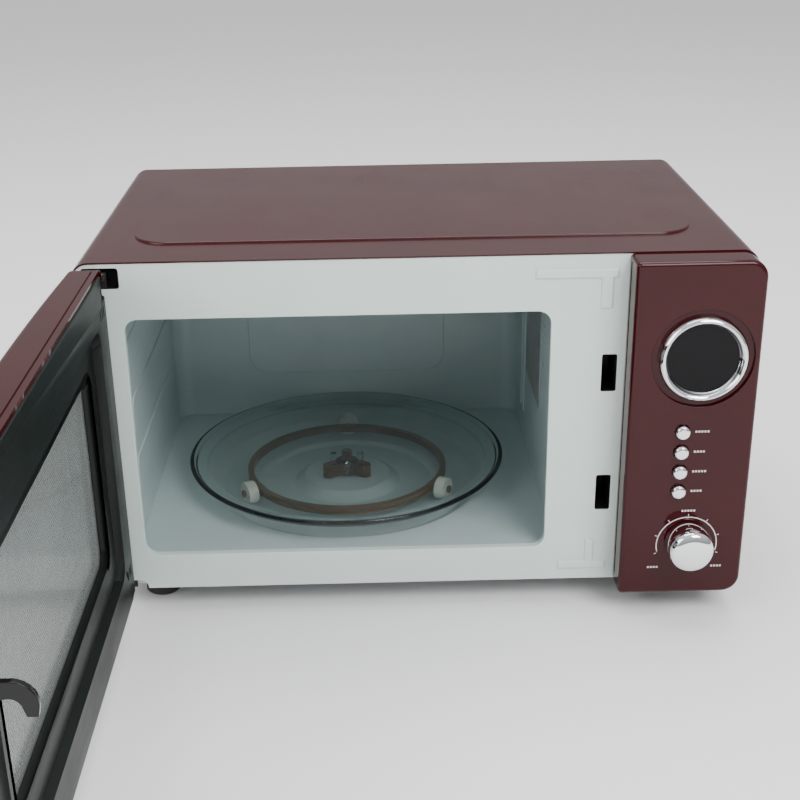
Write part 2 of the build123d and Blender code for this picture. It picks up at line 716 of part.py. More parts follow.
with BuildPart() as roller_ring:
    with BuildSketch(Plane.XY.offset(axle_z - hoop_height / 2)):
        with Locations((turntable_x, turntable_y)):
            Circle(hoop_outer)
            Circle(hoop_inner, mode=Mode.SUBTRACT)
    extrude(amount=hoop_height)
    for i in range(wheel_count):
        angle = 2 * pi * i / wheel_count + pi / 2
        outward = (cos(angle), sin(angle), 0)
        start = (turntable_x + (hoop_outer - 1) * outward[0], turntable_y + (hoop_outer - 1) * outward[1], axle_z)
        rod(start, outward, wheel_axle, wheel_track + wheel_width / 2 + 1.5 - hoop_outer + 1)
        tip = (turntable_x + (wheel_track + wheel_width / 2 + 0.5) * outward[0],
               turntable_y + (wheel_track + wheel_width / 2 + 0.5) * outward[1], axle_z)
        rod(tip, outward, wheel_axle + 1.0, 1.5)

roller_wheels = []
for i in range(wheel_count):
    angle = 2 * pi * i / wheel_count + pi / 2
    outward = (cos(angle), sin(angle), 0)
    inner_face = wheel_track - wheel_width / 2
    start = (turntable_x + inner_face * outward[0], turntable_y + inner_face * outward[1], axle_z)
    with BuildPart() as wheel:
        rod(start, outward, wheel_radius, wheel_width)
        fillet(wheel.edges().filter_by(GeomType.CIRCLE), 0.8)
        rod(start, outward, wheel_axle + axle_clearance, wheel_width, Mode.SUBTRACT)
    roller_wheels.append(wheel)

# ---------------------------------------------------------------- lamp, cut-out, latch board, electronics
with BuildPart() as lamp_holder:
    lamp_y, lamp_z = chamber_front + 52, chamber_top - 50
    block((bay_left, lamp_y - 22, lamp_z - 14), (bay_left + 1, lamp_y + 22, lamp_z + 14))
    block((bay_left, lamp_y + 12, lamp_z - 11), (bay_left + 26, lamp_y + 22, lamp_z + 11))
    rod((bay_left + 13, lamp_y + 23, lamp_z), (0, -1, 0), 6.1, 12, Mode.SUBTRACT)

with BuildPart() as cavity_lamp:
    rod((bay_left + 13, lamp_y + 20, lamp_z), (0, -1, 0), 6.0, 10)
    rod((bay_left + 13, lamp_y + 10, lamp_z), (0, -1, 0), 9.5, 20)
    fillet(cavity_lamp.edges().filter_by(GeomType.CIRCLE).sort_by(Axis.Y)[0], 8)

with BuildPart() as thermal_cutout:
    cutout_x = turntable_x - 28
    rod((cutout_x, turntable_y, chamber_top + chamber_wall), (0, 0, 1), 9.0, 6)
    block((cutout_x - 14, turntable_y - 4, chamber_top + chamber_wall),
          (cutout_x + 14, turntable_y + 4, chamber_top + 2 * chamber_wall))
    for y in (turntable_y - 4.5, turntable_y + 3):
        block((cutout_x - 3, y, chamber_top + 7), (cutout_x + 3, y + 0.8, chamber_top + 15))

bracket_low = (slot_x - 14, front_y + plate_sheet, lower_slot_z - 26)
bracket_high = (slot_x + 14, front_y + 40, upper_slot_z + 24)
with BuildPart() as interlock_bracket:
    block(bracket_low, bracket_high)
    for z in (upper_slot_z, lower_slot_z):
        block((slot_x - slot_width / 2, front_y, z - slot_height / 2 - 1),
              (slot_x + slot_width / 2, front_y + 33, z + slot_height / 2 + 1), Mode.SUBTRACT)
    middle = (upper_slot_z + lower_slot_z) / 2
    block((slot_x - 10, front_y + 4, middle - 24), (slot_x + 20, front_y + 36, middle + 24), Mode.SUBTRACT)

with BuildPart() as microswitches:
    for z in (upper_slot_z + 4, upper_slot_z - 12, lower_slot_z - 4):
        block((bracket_high[0], front_y + 8, z - 5), (bracket_high[0] + 8, front_y + 28, z + 5))
        for y in (front_y + 12, front_y + 22):
            block((bracket_high[0] + 8, y, z - 3), (bracket_high[0] + 12, y + 1, z + 3))

with BuildPart() as control_panel:
    panel_mid = ((panel_left + right_x) / 2, (panel_top + panel_bottom) / 2)
    panel_height = panel_top - panel_bottom
    with BuildSketch(Plane.XZ.offset(-front_y)):
        with Locations(panel_mid):
            Rectangle(panel_width, panel_height)
        fillet(vertices().group_by(Axis.X)[-1], cover_corner)
        fillet(vertices().group_by(Axis.X)[0], panel_small_corner)
    extrude(amount=panel_depth)
    fillet(control_panel.faces().sort_by(Axis.Y)[0].edges(), panel_edge_round)
    with BuildSketch(Plane.XZ.offset(-front_y)):
        with Locations(panel_mid):
            Rectangle(panel_width - 2 * panel_wall, panel_height - 2 * panel_wall)
        fillet(vertices().group_by(Axis.X)[-1], cover_corner - panel_wall)
    extrude(amount=panel_depth - panel_wall, mode=Mode.SUBTRACT)
    # Round backing of the display, dished on the outside and open in the middle
    rod((display_x, panel_inner_y + 2.5, display_z), (0, -1, 0), recess_radius + 3, 3.5)
    rod((display_x, panel_face_y - 1, display_z), (0, 1, 0), recess_radius, 1 + recess_depth, Mode.SUBTRACT)
    rod((display_x, panel_face_y - 1, display_z), (0, 1, 0), lens_radius - 2, 12, Mode.SUBTRACT)
    for z in button_heights:
        rod((button_x, panel_face_y - 1, z), (0, 1, 0), button_radius + button_clearance, 12, Mode.SUBTRACT)
    rod((dial_x, panel_face_y - 1, dial_z), (0, 1, 0), dial_shaft + 1.0, 12, Mode.SUBTRACT)
    # Long groove down the side that faces the door
    block((panel_left - 1, front_y - 6.5, panel_bottom + 8), (panel_left + 1.2, front_y - 3.5, panel_top - 4),
          Mode.SUBTRACT)

with BuildPart() as display_bezel:
    bezel_seat = panel_face_y + recess_depth
    with BuildSketch(Plane(origin=(display_x, 0, display_z), x_dir=(1, 0, 0), z_dir=(0, 0, 1))):
        with BuildLine():
            back = bezel_seat
            Polyline(
                (lens_radius, back), (bezel_radius, back), (bezel_radius, back - bezel_height + 3.5),
                (bezel_radius - 2.5, back - bezel_height), (lens_radius + 1.5, back - bezel_height + 1.5),
                (lens_radius, back - 2.5), close=True,
            )
        make_face()
    revolve(axis=Axis((display_x, 0, display_z), (0, 1, 0)))

with BuildPart() as display_lens:
    rod((display_x, bezel_seat, display_z), (0, -1, 0), lens_radius - 0.1, 2.2)

control_y = front_y + 12
with BuildPart() as control_board:
    block((panel_left + 18, control_y, body_bottom + 34), (right_x - 18, control_y + 1.6, cabinet_top - 28))
    block((panel_left + 24, control_y + 1.6, body_bottom + 77), (panel_left + 58, control_y + 26, body_bottom + 107))
    for z in (body_bottom + 121, body_bottom + 137, body_bottom + 153):
        block((panel_left + 30, control_y + 1.6, z), (panel_left + 46, control_y + 17, z + 12))
    for x, z in ((panel_left + 54, 41), (panel_left + 54, 57), (panel_left + 40, 47)):
        rod((x, control_y + 1.6, body_bottom + z), (0, 1, 0), 5.0, 16)

switch_face_y = button_foot_y + 2.0 + button_travel + 0.3
with BuildPart() as display_board:
    board_y = switch_face_y + 3.5
    block((display_x - 27, board_y, button_heights[-1] - 12), (display_x + 27, board_y + 1.6, display_z + 26))
    block((display_x - 18, panel_inner_y + 2.7, display_z - 9), (display_x + 18, board_y, display_z + 9))

with BuildPart() as key_switches:
    for z in button_heights:
        block((button_x - 3, switch_face_y + 1.2, z - 3), (button_x + 3, switch_face_y + 3.5, z + 3))
        rod((button_x, switch_face_y + 1.2, z), (0, -1, 0), 1.6, 1.2)

buttons = []
for z in button_heights:
    with BuildPart() as button:
        rod((button_x, button_foot_y, z), (0, -1, 0), button_radius, button_foot_y - panel_face_y + button_proud - 1.5)
        with BuildSketch(Plane.XZ.offset(-(panel_face_y - button_proud + 1.5))):
            with Locations((button_x, z)):
                Circle(button_radius)
        extrude(amount=1.5, taper=38)
        rod((button_x, button_foot_y + 2.0, z), (0, -1, 0), button_radius + 1.2, 2.0)
    buttons.append(button)

with BuildPart() as dial_knob:
    dial_back = panel_face_y - dial_gap
    rod((dial_x, dial_back, dial_z), (0, -1, 0), dial_radius, dial_length)
    fillet(dial_knob.faces().sort_by(Axis.Y)[0].edges(), dial_radius * 0.55)
    chamfer(dial_knob.faces().sort_by(Axis.Y)[-1].edges(), 0.8)
    rod((dial_x, dial_back, dial_z), (0, 1, 0), dial_shaft, 22.0)

with BuildPart() as dial_encoder:
    encoder_y = panel_inner_y + 8.0
    block((dial_x - 8, encoder_y, dial_z - 8), (dial_x + 8, encoder_y + 8, dial_z + 8))
    rod((dial_x, encoder_y, dial_z), (0, -1, 0), dial_shaft + 2.5, 5.0)
    block((dial_x - 20, encoder_y + 8, dial_z - 14), (dial_x + 16, encoder_y + 9.6, dial_z + 14))
    rod((dial_x, encoder_y - 6, dial_z), (0, 1, 0), dial_shaft + axle_clearance, 30, Mode.SUBTRACT)

with BuildPart() as noise_filter:
    filter_y = rear_y - 40
    block((bay_left + 8, filter_y - 60, chamber_top + 12), (bay_left + 64, filter_y - 6, chamber_top + 13.6))
    rod((bay_left + 24, filter_y - 34, chamber_top + 13.6), (0, 0, 1), 11.0, 11)
    block((bay_left + 42, filter_y - 54, chamber_top + 13.6), (bay_left + 58, filter_y - 26, chamber_top + 23))
    for x in (bay_left + 12, bay_left + 60):
        for y in (filter_y - 56, filter_y - 10):
            rod((x, y, chamber_top + 9), (0, 0, 1), 2.2, 3)

# ---------------------------------------------------------------- hinges
hinge_screw_x = left_x + 19.5
with BuildPart() as hinge_brackets:
    for tab_z, flange_low, flange_high, pin_from in (
        (upper_tab_z, upper_tab_z - 22, upper_tab_z + 8, upper_tab_z - 10),
        (lower_tab_z, lower_tab_z, lower_tab_z + 32, lower_tab_z + hinge_tab_sheet),
    ):
        with BuildSketch(Plane.XY.offset(tab_z)):
            with Locations((hinge_x, hinge_y)):
                Circle(hinge_tab_half)
            with Locations((hinge_x, (hinge_y + front_y + plate_sheet + 1) / 2)):
                Rectangle(2 * hinge_tab_half, front_y + plate_sheet + 1 - hinge_y)
        extrude(amount=hinge_tab_sheet)
        block((left_x + 4.5, front_y + plate_sheet, flange_low),
              (left_x + 23, front_y + plate_sheet + hinge_tab_sheet, flange_high))
        rod((hinge_x, hinge_y, pin_from), (0, 0, 1), hinge_pin, 10)
    rod((hinge_screw_x, front_y, upper_tab_z + 5), (0, 1, 0), screw_shank + screw_clearance, 10, Mode.SUBTRACT)

hinge_screw = screws(
    [Plane(origin=(hinge_screw_x, front_y + plate_sheet, upper_tab_z + 5), z_dir=(0, -1, 0))], head=3.0
)

# ---------------------------------------------------------------- door
corner_tool = hinge_corner_tool()
window_width = door_width - 2 * frame_window_inset
window_height = door_height - 2 * frame_window_inset
window_centre = (door_width / 2, door_mid_z)

with BuildPart() as door_outer_shell:
    add(crowned_block(0, door_rim, door_edge))
    fillet(door_outer_shell.faces().sort_by(Axis.X)[0].edges(), panel_edge_round)
    add(crowned_block(door_wall, door_rim - 1, door_edge - door_wall), mode=Mode.SUBTRACT)
    rounded_box(door_plane(door_edge - 8), window_centre, window_width + 2 * window_trim - 12,
                window_height + 2 * window_trim - 12, 16, 20, Mode.SUBTRACT)
    for z in handle_screw_points:
        with BuildSketch(door_plane(door_edge - 8)):
            with Locations((handle_u, z)):
                Circle(screw_shank + screw_clearance)
        extrude(amount=20, mode=Mode.SUBTRACT)
    # Shadow line round the rim
    for low, high in ((door_bottom - 1, door_bottom + 0.9), (door_top - 0.9, door_top + 1)):
        with BuildSketch(door_section(low)):
            with Locations((door_width / 2, -door_rim - 4.2)):
                Rectangle(door_width - 26, 1.2)
        extrude(amount=high - low, mode=Mode.SUBTRACT)
    add(corner_tool, mode=Mode.SUBTRACT)

frame_inset = door_wall + 0.2
with BuildPart() as door_inner_frame:
    with BuildSketch(door_plane(door_seal_gap)):
        add(door_outline(frame_inset))
    extrude(amount=frame_skin)
    inset_one = frame_band
    inset_two = frame_band + frame_slope
    inset_three = inset_two + frame_second_band
    inset_four = inset_three + frame_slope
    rings = (
        (inset_one, door_seal_gap, inset_two, frame_second_z),
        (inset_three, frame_second_z, inset_four, frame_third_z),
    )
    with BuildSketch(door_plane(door_seal_gap)):
        with Locations(window_centre):
            Rectangle(door_width - 2 * inset_one + 2 * frame_skin, door_height - 2 * inset_one + 2 * frame_skin)
    extrude(amount=frame_second_depth + frame_step_depth + frame_lip)
    for outer_inset, outer_depth, inner_inset, inner_depth in rings:
        for inset, depth in ((outer_inset, outer_depth - 0.01), (inner_inset, inner_depth)):
            with BuildSketch(door_plane(depth)):
                with Locations(window_centre):
                    RectangleRounded(door_width - 2 * inset, door_height - 2 * inset, 10)
        loft(mode=Mode.SUBTRACT)
        with BuildSketch(door_plane(inner_depth)):
            with Locations(window_centre):
                RectangleRounded(door_width - 2 * inner_inset, door_height - 2 * inner_inset, 10)
        extrude(amount=-12, mode=Mode.SUBTRACT)
    rounded_box(door_plane(0), window_centre, window_width, window_height, 8, 30, Mode.SUBTRACT)
    # Hook slots
    for z in (upper_slot_z, lower_slot_z):
        with BuildSketch(door_plane(0)):
            with Locations((hook_u, z)):
                Rectangle(hook_thickness + 2.4, hook_height + latch_travel + 4)
        extrude(amount=6, mode=Mode.SUBTRACT)
    # Ledge that the latch spring presses up against
    with BuildSketch(door_section(spring_base + spring_length)):
        with Locations((hook_u - 1, -(bar_near + latch_bar_depth / 2) + 0.6)):
            Rectangle(9, latch_bar_depth + 1.2)
    extrude(amount=3)
    # Bearing bosses for the two hinge pins
    for low in (upper_tab_z - 1.2 - 8.4, lower_tab_z + hinge_tab_sheet + 1.2):
        with BuildSketch(door_section(low)):
            with Locations((hinge_inset - 0.8, -hinge_reach + 2.6)):
                Rectangle(12, 17.0)
        extrude(amount=8.4)
    with BuildSketch(door_plane(0)):
        add(door_outline(frame_inset))
    extrude(amount=door_edge, mode=Mode.INTERSECT)
    add(corner_tool, mode=Mode.SUBTRACT)
    with BuildSketch(door_section(door_bottom)):
        with Locations((hinge_inset, -hinge_reach)):
            Circle(hinge_pin + hinge_clearance)
    extrude(amount=door_height, mode=Mode.SUBTRACT)

with BuildPart() as door_mesh_plate:
    tray_width = door_width - tray_inset_hinge - tray_inset_free
    tray_height = door_height - 2 * tray_inset_z
    tray_centre = (tray_inset_hinge + tray_width / 2, door_mid_z)
    flange_back = door_seal_gap + frame_skin + 0.3
    rounded_box(door_plane(flange_back), tray_centre, tray_width, tray_height, 4, tray_depth + tray_sheet - flange_back)
    rounded_box(door_plane(flange_back - 1), tray_centre, tray_width - 2 * tray_sheet,
                tray_height - 2 * tray_sheet, 3, tray_depth - flange_back + 1, Mode.SUBTRACT)
    rounded_box(door_plane(tray_depth - 1), window_centre, window_width - 4, window_height - 4, 6, 4, Mode.SUBTRACT)

with BuildPart() as door_screen:
    rounded_box(door_plane(screen_near), window_centre, window_width + 8, window_height + 8, 6, screen_sheet)

with BuildPart() as door_inner_film:
    rounded_box(door_plane(film_near), window_centre, window_width + 4, window_height + 4, 6, film_sheet)

with BuildPart() as door_window_pane:
    pane_face = door_edge - door_wall - 0.1
    with BuildSketch(door_plane(tray_depth + tray_sheet + 0.5)):
        with Locations(window_centre):
            RectangleRounded(window_width + 2 * pane_overlap - 12, window_height + 2 * pane_overlap - 12, 18)
    extrude(amount=30)
    add(crowned_block(0, door_rim, pane_face), mode=Mode.INTERSECT)
    add(crowned_block(-2, door_rim - 1, pane_face - pane_thickness), mode=Mode.SUBTRACT)

with BuildPart() as door_latch:
    hook_u_high = hook_u + hook_thickness / 2
    side_plane = Plane(origin=(door_origin_x, door_origin_y - hook_u_high, 0), x_dir=(-1, 0, 0), z_dir=(0, 1, 0))
    with BuildSketch(side_plane):
        with BuildLine():
            Polyline((bar_near, lower_slot_z - 22), (bar_near + latch_bar_depth, lower_slot_z - 22),
                     (bar_near + latch_bar_depth, bar_top), (bar_near, bar_top), close=True)
        make_face()
    extrude(amount=hook_thickness)
    for z in (upper_slot_z, lower_slot_z):
        crest = z + hook_height / 2 - latch_travel / 2
        tip_end = -hook_reach
        with BuildSketch(side_plane):
            with BuildLine():
                Polyline((bar_near + 1, crest - hook_neck - 2), (bar_near + 1, crest), (tip_end + 12, crest))
                ThreePointArc((tip_end + 12, crest), (tip_end + 3, crest - 4), (tip_end, crest - 13))
                Polyline((tip_end, crest - 13), (tip_end + 1, crest - hook_height), (tip_end + hook_tip, crest - hook_height),
                         (tip_end + hook_tip + 1.5, crest - 13))
                ThreePointArc((tip_end + hook_tip + 1.5, crest - 13), (tip_end + hook_tip + 4, crest - hook_neck - 0.6),
                              (tip_end + hook_tip + 9, crest - hook_neck))
                Line((tip_end + hook_tip + 9, crest - hook_neck), (bar_near + 1, crest - hook_neck - 2))
            make_face()
        extrude(amount=hook_thickness)

with BuildPart() as latch_spring:
    with BuildSketch(door_section(spring_base)):
        with Locations((hook_u, -(bar_near + latch_bar_depth / 2))):
            Circle(2.6)
            Circle(1.7, mode=Mode.SUBTRACT)
    extrude(amount=spring_length)

with BuildPart() as door_handle:
    seat = door_edge + crown_at(handle_u - handle_post)
    posts = handle_screw_points
    with BuildSketch(door_plane(seat)):
        with Locations(*[(handle_u, z) for z in posts]):
            Circle(handle_post)
    extrude(amount=handle_standoff)
    with BuildSketch(door_section(posts[0] - 12)):
        with Locations((handle_u, -seat - handle_standoff)):
            Circle(handle_bar)
    extrude(amount=posts[1] - posts[0] + 24)
    for z in posts:
        with BuildSketch(door_plane(seat - 1)):
            with Locations((handle_u, z)):
                Circle(screw_shank + screw_clearance)
        extrude(amount=12, mode=Mode.SUBTRACT)

handle_screw_seat = door_edge - door_wall + crown_at(handle_u + screw_head)
handle_screws = screws(
    [Plane(origin=door_plane(handle_screw_seat).from_local_coords((handle_u, z, 0)), z_dir=(1, 0, 0))
     for z in handle_screw_points], length=10
)

# ---------------------------------------------------------------- write the pieces
pieces = {
    "outer_cover": outer_cover, "base_plate": base_plate, "rear_panel": rear_panel, "rear_spacers": rear_spacers,
    "case_screws": case_screws, "cord_gland": cord_gland, "feet": feet,
    "front_plate": front_plate, "cavity_floor": cavity_floor,
    "cavity_left_wall": cavity_left_wall, "cavity_right_wall": cavity_right_wall,
    "cavity_rear_wall": cavity_rear_wall, "cavity_ceiling": cavity_ceiling, "waveguide_cover": waveguide_cover,
    "waveguide": waveguide, "magnetron": magnetron, "hv_transformer": hv_transformer,
    "hv_capacitor": hv_capacitor, "capacitor_bracket": capacitor_bracket, "hv_diode": hv_diode,
    "fan_housing": fan_housing, "fan_blade": fan_blade, "fan_motor": fan_motor,
    "turntable_motor": turntable_motor, "drive_coupler": drive_coupler, "glass_turntable": glass_turntable,
    "roller_ring": roller_ring, "lamp_holder": lamp_holder, "cavity_lamp": cavity_lamp,
    "thermal_cutout": thermal_cutout, "interlock_bracket": interlock_bracket, "microswitches": microswitches,
    "control_panel": control_panel, "display_bezel": display_bezel, "display_lens": display_lens,
    "display_board": display_board, "control_board": control_board,
    "key_switches": key_switches, "dial_knob": dial_knob, "dial_encoder": dial_encoder,
    "noise_filter": noise_filter, "hinge_brackets": hinge_brackets, "hinge_screw": hinge_screw,
    "door_outer_shell": door_outer_shell, "door_inner_frame": door_inner_frame,
    "door_mesh_plate": door_mesh_plate, "door_screen": door_screen, "door_inner_film": door_inner_film,
    "door_window_pane": door_window_pane, "door_latch": door_latch, "latch_spring": latch_spring,
    "door_handle": door_handle, "handle_screws": handle_screws,
}
pieces.update({f"roller_wheel_{i + 1}": wheel for i, wheel in enumerate(roller_wheels)})
pieces.update({f"button_{i + 1}": button for i, button in enumerate(buttons)})

os.makedirs("parts", exist_ok=True)
for label, piece in pieces.items():
    piece.part.label = label
    export_step(piece.part, f"parts/{label}.step")
print(len(pieces), "pieces written")
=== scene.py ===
import json
from math import cos, pi, radians, sin, sqrt

import bmesh
import bpy
from mathutils import Matrix, Vector


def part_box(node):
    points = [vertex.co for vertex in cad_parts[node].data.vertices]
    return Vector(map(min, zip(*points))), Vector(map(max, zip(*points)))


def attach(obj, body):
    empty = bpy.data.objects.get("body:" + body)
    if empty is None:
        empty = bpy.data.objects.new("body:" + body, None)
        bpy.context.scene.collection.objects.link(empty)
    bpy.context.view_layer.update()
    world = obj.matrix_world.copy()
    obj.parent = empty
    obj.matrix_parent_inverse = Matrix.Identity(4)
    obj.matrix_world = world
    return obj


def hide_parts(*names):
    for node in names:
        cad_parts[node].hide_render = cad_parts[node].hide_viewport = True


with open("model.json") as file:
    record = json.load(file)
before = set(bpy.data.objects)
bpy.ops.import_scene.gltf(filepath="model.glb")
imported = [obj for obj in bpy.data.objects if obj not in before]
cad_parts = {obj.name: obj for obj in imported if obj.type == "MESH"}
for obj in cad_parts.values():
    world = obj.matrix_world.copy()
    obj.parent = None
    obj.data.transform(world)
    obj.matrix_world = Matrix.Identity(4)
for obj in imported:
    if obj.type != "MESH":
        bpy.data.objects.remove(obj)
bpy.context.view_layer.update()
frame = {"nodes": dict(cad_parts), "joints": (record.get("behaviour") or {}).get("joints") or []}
joints = {joint["name"]: joint for joint in frame["joints"]}
mm = 0.001

# camera

view = {
    "position": (-0.0294, -0.9644, 0.5028),
    "angles": (66.61, 0.93, -1.08),
    "lens": 60.2,
    "shift": (0.0146, 0.0272),
}
cameraData = bpy.data.cameras.new("camera")
cameraData.lens, cameraData.sensor_width = view["lens"], 36
cameraData.shift_x, cameraData.shift_y = view["shift"]
cameraData.dof.use_dof = False
cameraData.clip_start, cameraData.clip_end = 0.01, 60
camera = bpy.data.objects.new("camera", cameraData)
camera.location = view["position"]
camera.rotation_euler = [radians(angle) for angle in view["angles"]]
bpy.context.scene.collection.objects.link(camera)
bpy.context.scene.camera = camera
print("camera set")

# places of the main pieces

coverLow, coverHigh = [Vector(corner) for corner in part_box("outer_cover")]
plateLow, plateHigh = [Vector(corner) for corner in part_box("front_plate")]
panelLow, panelHigh = [Vector(corner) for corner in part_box("control_panel")]
shellLow, shellHigh = [Vector(corner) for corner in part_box("door_outer_shell")]
frameHigh = Vector(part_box("door_inner_frame")[1])
frontY = panelHigh.y
doorWidth = shellHigh.y - shellLow.y
doorPlace = Vector((frameHigh.x + 1.5 * mm, shellHigh.y, 0))
doorMid = (shellLow.z + shellHigh.z) / 2
doorTurn = Matrix.Translation(doorPlace) @ Matrix.Rotation(-pi / 2, 4, "Z")

# modelling


def only(piece):
    bpy.ops.object.select_all(action="DESELECT")
    piece.select_set(True)
    bpy.context.view_layer.objects.active = piece


def edit(piece, mode="FACE"):
    only(piece)
    bpy.ops.object.mode_set(mode="EDIT")
    bpy.ops.mesh.select_mode(type=mode)
    bpy.ops.mesh.select_all(action="DESELECT")


def done():
    bpy.ops.object.mode_set(mode="OBJECT")


def pick(piece, test, kind="faces"):
    mesh = bmesh.from_edit_mesh(piece.data)
    mesh.normal_update()
    for item in getattr(mesh, kind):
        item.select_set(bool(test(item)))
    mesh.select_flush_mode()
    bmesh.update_edit_mesh(piece.data)


def middle(edge):
    return (edge.verts[0].co + edge.verts[1].co) / 2


def along(edge, axis):
    run = edge.verts[1].co - edge.verts[0].co
    return abs(run[axis]) > 0.99 * run.length


def box(name, low, high):
    low, high = Vector(low), Vector(high)
    bpy.ops.object.select_all(action="DESELECT")
    bpy.ops.mesh.primitive_cube_add(size=1, location=(low + high) / 2, scale=high - low)
    piece = bpy.context.object
    bpy.ops.object.transform_apply(location=True, rotation=True, scale=True)
    piece.name = name
    return piece


def rod(name, start, end, radius, sides=48, tip=None):
    start, end = Vector(start), Vector(end)
    bpy.ops.object.select_all(action="DESELECT")
    turn = (end - start).to_track_quat("Z", "Y").to_euler()
    bpy.ops.mesh.primitive_cone_add(
        vertices=sides, radius1=radius, radius2=radius if tip is None else tip,
        depth=(end - start).length, location=(start + end) / 2, rotation=turn)
    piece = bpy.context.object
    bpy.ops.object.transform_apply(location=True, rotation=True, scale=True)
    piece.name = name
    return piece


def bevelEdges(piece, test, width, segments):
    edit(piece, "EDGE")
    pick(piece, test, "edges")
    bpy.ops.mesh.bevel(offset=width, offset_type="OFFSET", segments=segments, profile=0.5, affect="EDGES",
                       clamp_overlap=True)
    done()


def roundBox(name, low, high, axis, corner, segments=8):
    piece = box(name, low, high)
    bevelEdges(piece, lambda edge: along(edge, axis), corner, segments)
    return piece


def spun(name, points, centre, axis=(0, 0, 1), steps=96, closed=True):
    centre, axis = Vector(centre), Vector(axis)
    turn = axis.to_track_quat("Z", "Y").to_matrix()
    bpy.ops.object.select_all(action="DESELECT")
    bpy.ops.mesh.primitive_circle_add(vertices=len(points), radius=1, fill_type="NOTHING")
    piece = bpy.context.object
    piece.name = name
    for vertex, (reach, height) in zip(piece.data.vertices, points):
        vertex.co = centre + turn @ Vector((reach, 0, height))
    edit(piece, "EDGE")
    if not closed:
        pick(piece, lambda edge: {edge.verts[0].index, edge.verts[1].index} == {0, len(points) - 1}, "edges")
        bpy.ops.mesh.delete(type="EDGE")
    bpy.ops.mesh.select_all(action="SELECT")
    bpy.ops.mesh.spin(steps=steps, angle=2 * pi, center=centre, axis=axis)
    bpy.ops.mesh.select_all(action="SELECT")
    bpy.ops.mesh.remove_doubles(threshold=0.00001)
    bpy.ops.mesh.dissolve_degenerate(threshold=0.000005)
    bpy.ops.mesh.select_all(action="SELECT")
    bpy.ops.mesh.normals_make_consistent(inside=False)
    done()
    return piece


def rounded(points, width, segments=3):
    out = []
    count = len(points)
    for i, point in enumerate(points):
        a, b, c = Vector(points[i - 1]), Vector(point), Vector(points[(i + 1) % count])
        if b.x < 0.00001:
            out.append(tuple(b))
            continue
        toA, toC = (a - b), (c - b)
        cut = min(width, toA.length * 0.45, toC.length * 0.45)
        first, last = b + toA.normalized() * cut, b + toC.normalized() * cut
        for k in range(segments + 1):
            t = k / segments
            out.append(tuple(first * (1 - t) ** 2 + b * 2 * t * (1 - t) + last * t ** 2))
    return out


def joined(name, parts):
    bpy.ops.object.select_all(action="DESELECT")
    for part in parts:
        part.select_set(True)
    bpy.context.view_layer.objects.active = parts[0]
    if len(parts) > 1:
        bpy.ops.object.join()
    piece = bpy.context.object
    piece.name = name
    return piece


def applyAll(piece):
    only(piece)
    for modifier in list(piece.modifiers):
        bpy.ops.object.modifier_apply(modifier=modifier.name)


def combine(piece, others, operation):
    cutter = joined("cutter", others)
    modifier = piece.modifiers.new("shape", "BOOLEAN")
    modifier.operation, modifier.object, modifier.solver = operation, cutter, "EXACT"
    modifier.use_self = operation == "DIFFERENCE"
    applyAll(piece)
    bpy.data.objects.remove(cutter, do_unlink=True)
    return piece


def cut(piece, *others):
    return combine(piece, list(others), "DIFFERENCE")


def fuse(piece, *others):
    return combine(piece, list(others), "UNION")


def soften(piece, width, segments=2, angle=40):
    modifier = piece.modifiers.new("edges", "BEVEL")
    modifier.width, modifier.segments, modifier.limit_method = width, segments, "ANGLE"
    modifier.angle_limit, modifier.harden_normals = radians(angle), True
    modifier.use_clamp_overlap = True
    applyAll(piece)


def smooth(piece, angle=32):
    only(piece)
    bpy.ops.object.shade_smooth_by_angle(angle=radians(angle))
    modifier = piece.modifiers.new("shading", "WEIGHTED_NORMAL")
    modifier.keep_sharp = True
    applyAll(piece)


def repeat(piece, count, step, merge=False):
    modifier = piece.modifiers.new("row", "ARRAY")
    modifier.use_relative_offset, modifier.use_constant_offset = False, True
    modifier.count, modifier.constant_offset_displace = count, step
    modifier.use_merge_vertices, modifier.merge_threshold = merge, 0.00002
    applyAll(piece)
    return piece


def finished(piece, name, body, material, slotName, *nodes, angle=32):
    piece.name = name
    smooth(piece, angle)
    piece.data.materials.clear()
    piece.data.materials.append(material)
    if nodes:
        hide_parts(*nodes)
    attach(piece, body)
    return piece


def toDoor(piece):
    piece.data.transform(doorTurn)
    piece.data.update()
    return piece


print("tools ready")

# surface effects shared by the finishes


def newGroup(name, inputs, outputs):
    group = bpy.data.node_groups.new(name, "ShaderNodeTree")
    for label, value in inputs.items():
        socket = group.interface.new_socket(name=label, in_out="INPUT", socket_type="NodeSocketFloat")
        socket.default_value = value
    for label, kind in outputs.items():
        group.interface.new_socket(name=label, in_out="OUTPUT", socket_type=kind)
    start, end = group.nodes.new("NodeGroupInput"), group.nodes.new("NodeGroupOutput")
    place = group.nodes.new("ShaderNodeTexCoord").outputs["Object"]
    return group, start, end, place


def math(tree, operation, first, second=0.0, third=None):
    node = tree.nodes.new("ShaderNodeMath")
    node.operation = operation
    for socket, value in zip(node.inputs, (first, second, third)):
        if value is None:
            continue
        if isinstance(value, (int, float)):
            socket.default_value = value
        else:
            tree.links.new(value, socket)
    return node.outputs[0]


def noise(tree, place, scale, detail=3.0, rough=0.5, stretch=None):
    node = tree.nodes.new("ShaderNodeTexNoise")
    if stretch:
        mapping = tree.nodes.new("ShaderNodeMapping")
        mapping.inputs["Scale"].default_value = stretch
        tree.links.new(place, mapping.inputs["Vector"])
        place = mapping.outputs[0]
    tree.links.new(place, node.inputs["Vector"])
    if isinstance(scale, (int, float)):
        node.inputs["Scale"].default_value = scale
    else:
        tree.links.new(scale, node.inputs["Scale"])
    node.inputs["Detail"].default_value = detail
    node.inputs["Roughness"].default_value = rough
    return node.outputs["Fac"]


